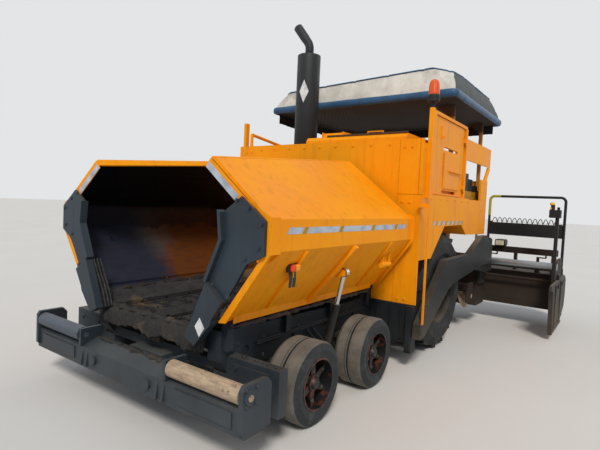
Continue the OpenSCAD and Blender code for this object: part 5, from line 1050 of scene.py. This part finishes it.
def round_corners(half, front, rear, radius, run=90, arc=10):
    """The outline of a rectangle with cut corners, always of the same number of points: each corner runs
    between a quarter circle and its chord, then a straight run goes to the next corner."""
    corners = ((half - radius, rear - radius, 0), (radius - half, rear - radius, 90),
               (radius - half, front + radius, 180), (half - radius, front + radius, 270))
    turn = np.linspace(0, np.pi / 2, arc + 1)
    cut = 1 / (0.55 * (np.cos(turn) + np.sin(turn)) + 0.45)
    arcs = [np.stack([x + radius * cut * np.cos(math.radians(start) + turn),
                      y + radius * cut * np.sin(math.radians(start) + turn)], -1) for x, y, start in corners]
    share = np.linspace(0, 1, run + 1)[1:-1, None]
    runs = [a[-1] * (1 - share) + b[0] * share for a, b in zip(arcs, arcs[1:] + arcs[:1])]
    return np.concatenate([part for pair in zip(arcs, runs) for part in pair])



roof, tree, shader = new_material("roof_canvas_weathered")
place = add(tree, "ShaderNodeTexCoord")
at = place.outputs["Object"]
cloud = add(tree, "ShaderNodeTexNoise", {"Vector": at, "Scale": 3.2, "Detail": 7.0, "Roughness": 0.65})
ramp = add(tree, "ShaderNodeMapRange", {0: cloud.outputs["Fac"], 1: 0.38, 2: 0.62})
cloth = add(tree, "ShaderNodeMix", {0: ramp.outputs[0], 6: lin("#E0E0D9"), 7: lin("#C3C2BA")},
            data_type="RGBA")
smudge = add(tree, "ShaderNodeTexNoise", {"Vector": at, "Scale": 1.3, "Detail": 8.0, "Roughness": 0.75})
smudged = add(tree, "ShaderNodeMapRange", {0: smudge.outputs["Fac"], 1: 0.52, 2: 0.66, 3: 0.0, 4: 0.75})
cloth = add(tree, "ShaderNodeMix", {0: smudged.outputs[0], 6: cloth.outputs[2], 7: lin("#8E8C86")},
            data_type="RGBA")
# The cloth of the long sides is another, darker piece
sideways = add(tree, "ShaderNodeSeparateXYZ", {0: place.outputs["Normal"]})
sideways = add(tree, "ShaderNodeMath", {0: sideways.outputs[0]}, operation="ABSOLUTE")
mouldy = add(tree, "ShaderNodeMapRange", {0: sideways.outputs[0], 1: 0.72, 2: 0.8, 3: 0.0, 4: 0.92})
cloth = add(tree, "ShaderNodeMix", {0: mouldy.outputs[0], 6: cloth.outputs[2], 7: lin("#2B343B")},
            data_type="RGBA")
# Rain has left the top grimy
split = add(tree, "ShaderNodeSeparateXYZ", {0: place.outputs["Normal"]})
grimy = add(tree, "ShaderNodeMapRange", {0: split.outputs[2], 1: 0.8, 2: 0.97, 3: 0.0, 4: 0.8})
soot_cloud = add(tree, "ShaderNodeMix", {0: ramp.outputs[0], 6: lin("#9C968A"), 7: lin("#7A766E")},
                 data_type="RGBA")
cloth = add(tree, "ShaderNodeMix", {0: grimy.outputs[0], 6: cloth.outputs[2], 7: soot_cloud.outputs[2]},
            data_type="RGBA")
# Faces that look down are near-black: painted shade under the roof
under = add(tree, "ShaderNodeMath", {0: split.outputs[2], 1: -0.3}, operation="LESS_THAN")
colour = add(tree, "ShaderNodeMix", {0: under.outputs[0], 6: cloth.outputs[2], 7: lin("#1D1916")},
             data_type="RGBA")
tree.links.new(colour.outputs[2], shader.inputs["Base Color"])
shader.inputs["Roughness"].default_value = 0.85
weave = add(tree, "ShaderNodeTexNoise", {"Vector": at, "Scale": 160.0, "Detail": 2.0})
bump = add(tree, "ShaderNodeBump", {"Height": weave.outputs["Fac"], "Strength": 0.15, "Distance": 0.003})
tree.links.new(bump.outputs[0], shader.inputs["Normal"])
roof["slot"] = "canvas"
# The fascia leans in as it rises and swells a little between its seams, its upper corners are cut round, and
# the roof rises to a low crown. Seams pull it in every 0.45 m.
rings = []
for up_share in np.linspace(0, 1, 22):
    swell = 12 * math.sin(math.pi * up_share)
    outline = round_corners(1304 - 104 * up_share ** 1.3 + swell, 3369 + 26 * up_share - swell,
                            5467 - 120 * up_share + swell, 26 + 150 * up_share ** 1.6)
    rings.append(np.column_stack([outline, np.full(len(outline), 2906 + 340 * up_share)]))
middle = np.array([0.0, 4370.0, 0.0])
edge_ring = rings[-1] - middle
for inset in np.linspace(0.992, 0.02, 26):
    ring = edge_ring * (inset, inset, 1) + middle
    ring[:, 2] = 3246 + 9 * (1 - inset ** 8) + 14 * (1 - inset ** 2)
    rings.append(ring)
cover = np.array(rings)
rows, columns = cover.shape[:2]
on_side = np.abs(np.gradient(cover[5, :, 1])) > np.abs(np.gradient(cover[5, :, 0]))
measure = np.where(on_side, cover[..., 1] - 4420, cover[..., 0])
off_seam = np.abs((measure + 225) % 450 - 225)
pull = np.exp(-(off_seam / 16) ** 2)
fascia = (np.arange(rows) < 22)[:, None]
flat = (cover - middle) * (1, 1, 0)
flat /= np.linalg.norm(flat, axis=-1, keepdims=True)
cover = cover - flat * (pull * fascia * 7)[..., None]
cover[..., 2] -= pull * 6 * np.clip(np.arange(rows) / 21, 0, 1)[:, None] ** 3 * (np.arange(rows) < 26)[:, None]
cover[..., 2] -= 4 * pull * (np.arange(rows) >= 26)[:, None]
cover[..., 2] += (3 * np.sin(cover[..., 0] / 140) * np.sin(cover[..., 1] / 170)) * ~fascia
# The frame has sunk on the right, so the top edge falls 75 mm towards that side and dips at the left corner
lift = np.clip((cover[..., 2] - 2906) / 340, 0, 1)
cover[..., 2] -= lift * (75 * np.clip((1010 - cover[..., 0]) / 2240, 0, 1) + 45 * np.clip((cover[..., 0] - 1010) / 230, 0, 1)
                         * np.clip((3900 - cover[..., 1]) / 500, 0, 1))
faces = grid_faces(rows, columns, around=True).tolist() + [[(rows - 1) * columns + k for k in range(columns)]]
roof_cloth = face_outward(surface("canopy_cloth", mm(cover), faces, "chassis", roof, True))

# Blue vinyl: a soft roll along the lower edge and a thin piping round the top edge
blue, tree, shader = new_material("blue_vinyl_roll")
blue["slot"] = "canvas"
at = add(tree, "ShaderNodeTexCoord").outputs["Object"]
soil = add(tree, "ShaderNodeTexNoise", {"Vector": at, "Scale": 6.0, "Detail": 7.0, "Roughness": 0.7})
soil = add(tree, "ShaderNodeMapRange", {0: soil.outputs["Fac"], 1: 0.45, 2: 0.75})
tone = add(tree, "ShaderNodeMix", {0: soil.outputs[0], 6: lin("#1F5078"), 7: lin("#172F42")}, data_type="RGBA")
tree.links.new(tone.outputs[2], shader.inputs["Base Color"])
shader.inputs["Roughness"].default_value = 0.5
folds = add(tree, "ShaderNodeTexNoise", {"Vector": at, "Scale": 38.0, "Detail": 4.0})
crease = add(tree, "ShaderNodeBump", {"Height": folds.outputs["Fac"], "Strength": 0.35, "Distance": 0.004})
tree.links.new(crease.outputs[0], shader.inputs["Normal"])
low_ring = np.column_stack([round_corners(1301, 3374, 5462, 34), np.full(columns, 2944)])
roll = tube("canopy_blue_roll", mm(low_ring), 0.045 + 0.004 * lumps(columns, 4, 61) - 0.002, "chassis", blue, 18,
            True, squeeze=0.62)
top_ring = cover[21] + (0, 0, 3)
piping = tube("canopy_blue_piping", mm(top_ring), 0.010, "chassis", blue, 8, True)

# Under it a brown debris net, hung from the frame with a little sag; the near-black cells between its strands are
# painted shade of the roof's underside
net, tree, shader = new_material("brown_debris_net")
net["slot"] = "canvas"
at = add(tree, "ShaderNodeTexCoord").outputs["Object"]
strands_and_painted_shade = add(tree, "ShaderNodeTexBrick", {"Vector": at, "Color1": lin("#0D0B0A"), "Color2": lin("#12100E"),
                                              "Mortar": lin("#40331F"), "Scale": 1.0, "Mortar Size": 0.006,
                                              "Brick Width": 0.06, "Row Height": 0.045, "Bias": 0.0})
tree.links.new(strands_and_painted_shade.outputs["Color"], shader.inputs["Base Color"])
shader.inputs["Roughness"].default_value = 0.9
strands = add(tree, "ShaderNodeBump", {"Height": strands_and_painted_shade.outputs["Fac"], "Strength": 0.4, "Distance": 0.003})
tree.links.new(strands.outputs[0], shader.inputs["Normal"])
x, y = np.meshgrid(np.linspace(-1262, 1262, 60), np.linspace(3412, 5425, 48))
sag = 3.0 + 8 * np.abs(np.sin(np.pi * (x + 1262) / 841)) * np.abs(np.sin(np.pi * (y - 3412) / 1006))
hung = surface("debris_net", mm(np.stack([x, y, 2914 - sag], -1)), grid_faces(48, 60)[:, ::-1].tolist(), "chassis",
               net, True)
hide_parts("canopy_cover")
# Black cloth hangs down from its rear and right edges, with a ragged hem; its near-black also stands in for the deep
# shade under the roof, painted shade
hanging_cloth_and_shade, tree, shader = new_material("black_hanging_cloth_painted_shade")
hanging_cloth_and_shade["slot"] = "canvas"
at = add(tree, "ShaderNodeTexCoord").outputs["Object"]
bleach = add(tree, "ShaderNodeTexNoise", {"Vector": at, "Scale": 5.0, "Detail": 5.0})
tone = add(tree, "ShaderNodeMix", {0: bleach.outputs["Fac"], 6: lin("#0E0E10"), 7: lin("#1D1E21")}, data_type="RGBA")
tree.links.new(tone.outputs[2], shader.inputs["Base Color"])
shader.inputs["Roughness"].default_value = 0.9
along = np.linspace(-1225, 1225, 120)
drop = np.linspace(0, 1, 9)[:, None]
depth = 118 + 36 * lumps(120, 13, 71) + 8 * lumps(120, 3, 72)
fold = 11 * np.sin(along / 95 + 1.5 * np.sin(along / 330)) * drop ** 0.7
high = 2905 - drop * depth
rear_curtain = surface("rear_curtain", mm(np.stack([along + 0 * drop, 5402 + fold, high], -1)),
                       grid_faces(9, 120).tolist(), "chassis", hanging_cloth_and_shade, True)
side_curtain = surface("side_curtain_right", mm(np.stack([-1262 + fold * 0.6, 4412 + 0.78 * along + 0 * drop, high], -1)),
                       grid_faces(9, 120)[:, ::-1].tolist(), "chassis", hanging_cloth_and_shade, True)

# Beacon
# A fluted amber dome on a black rubber foot, over the tall post; a bright reflector stands inside it.
centre = mm([(1271, 2790, 0)])
foot = turned("beacon_foot", [(0.018, 2.6603), (0.018, 2.712), (0.05, 2.716), (0.062, 2.722), (0.062, 2.776),
                              (0.056, 2.79), (0.03, 2.792)], centre, (0, 0, 1), "chassis", black, 36)
profile = np.array([(0.052, 2.784), (0.055, 2.79), (0.055, 2.80), (0.053, 2.86), (0.050, 2.895), (0.044, 2.918),
                    (0.033, 2.935), (0.018, 2.943), (0.006, 2.9445)])
turn = 2 * np.pi * np.arange(96) / 96
flute = 1 + 0.012 * np.cos(24 * turn)
dome_points = np.stack([profile[:, 0, None] * flute * np.cos(turn), profile[:, 0, None] * flute * np.sin(turn),
                        np.broadcast_to(profile[:, 1, None], (9, 96))], -1) + centre[0]
faces = grid_faces(9, 96, around=True).tolist() + [list(range(96))[::-1], [8 * 96 + k for k in range(96)]]
dome = face_outward(surface("beacon_dome", dome_points, faces, "chassis", amber, True))
mirror = turned("beacon_reflector", [(0.012, 2.793), (0.022, 2.81), (0.024, 2.87), (0.01, 2.885)], centre, (0, 0, 1),
                "chassis", chrome, 20, True)
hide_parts("beacon")
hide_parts("beacon")
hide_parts("beacon")

# Railing paint
# The left end of the extension's railing still has its yellow-green coat, and the control box on the front
# post carries a yellow knob.
lime = painted_plate("yellow_green_rail_enamel", "#A79A1C", "#B9AC3A", "#4B4418", "#55503A", rough=0.5)
lime["slot"] = "dark_paint"
knob_yellow = painted_plate("yellow_knob_enamel", "#F5B40C", "#F7C83A", "#8A6A14", "#6B4A33", rough=0.4)
knob_yellow["slot"] = "dark_paint"
for side_name, sign in (("left", 1.0), ("right", -1.0)):
    turn = np.linspace(np.pi, np.pi / 2, 18)
    bend = np.stack([1130 + 70 * np.cos(turn), np.full(18, 6220), 1825 + 70 * np.sin(turn)], -1)
    straight = np.stack([np.full(12, 1060), np.full(12, 6220), np.linspace(1575, 1815, 12)], -1)
    level_part = np.stack([np.linspace(1140, 1222, 6), np.full(6, 6220), np.full(6, 1895)], -1)
    path = np.concatenate([straight, bend, level_part]) * (sign, 1, 1)
    tube(f"yellow_rail_{side_name}", mm(path), 0.0212, f"extension_{side_name}", lime, 20, False, (0.0, 1.0, 0.0))
    turned(f"yellow_knob_{side_name}", [(0.022, 0.0), (0.024, 0.012), (0.024, 0.03), (0.012, 0.036), (0.012, 0.06),
                                        (0.03, 0.066), (0.033, 0.084), (0.024, 0.098), (0.008, 0.104)],
           mm([(sign * 2075, 5375, 1700)]), (0, 0, 1), f"extension_{side_name}", knob_yellow, 28, True)

# Spiral cable
# Black rubber lead, wound as a spring, lies along the top of the railing's dark panel, from a gland on the
# inner post to one on the outer post.
lead_rubber, tree, shader = new_material("black_rubber_lead")
lead_rubber["slot"] = "cable"
at = add(tree, "ShaderNodeTexCoord").outputs["Object"]
bloom = add(tree, "ShaderNodeTexNoise", {"Vector": at, "Scale": 40.0, "Detail": 5.0})
bloom = add(tree, "ShaderNodeMapRange", {0: bloom.outputs["Fac"], 1: 0.45, 2: 0.75})
tone = add(tree, "ShaderNodeMix", {0: bloom.outputs[0], 6: lin("#141415"), 7: lin("#2C2B2A")}, data_type="RGBA")
tree.links.new(tone.outputs[2], shader.inputs["Base Color"])
shader.inputs["Roughness"].default_value = 0.55
coil_turns, per_turn, coil_radius, pitch = 13, 24, 0.0365, 0.0745
turn = np.linspace(0, 2 * np.pi * coil_turns, coil_turns * per_turn + 1)
winding = np.stack([1.112 + pitch * turn / (2 * np.pi), 2.955 - coil_radius * np.sin(turn),
                    1.5125 - coil_radius * np.cos(turn)], -1)
curve = bpy.data.curves.new("spiral_cable_lead", "CURVE")
curve.dimensions = "3D"
curve.bevel_depth = 0.006
curve.bevel_resolution = 3
curve.use_fill_caps = True
line = curve.splines.new("POLY")
line.points.add(len(winding) - 1)
line.points.foreach_set("co", np.column_stack([winding, np.ones(len(winding))]).ravel())
curve.materials.append(lead_rubber)
lead = bpy.data.objects.new("spiral_cable_lead", curve)
bpy.context.scene.collection.objects.link(lead)
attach(lead, "extension_left")
gland = [(0.013, -0.012), (0.013, 0.004), (0.011, 0.006), (0.009, 0.03), (0.0068, 0.034)]
glands = [turned("cable_gland_inner", gland, winding[:1] - (0.03, 0, 0), (1, 0, 0), "extension_left", lead_rubber, 16),
          turned("cable_gland_outer", gland, winding[-1:] + (0.03, 0, 0), (-1, 0, 0), "extension_left", lead_rubber,
                 16)]
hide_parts("spiral_cable")
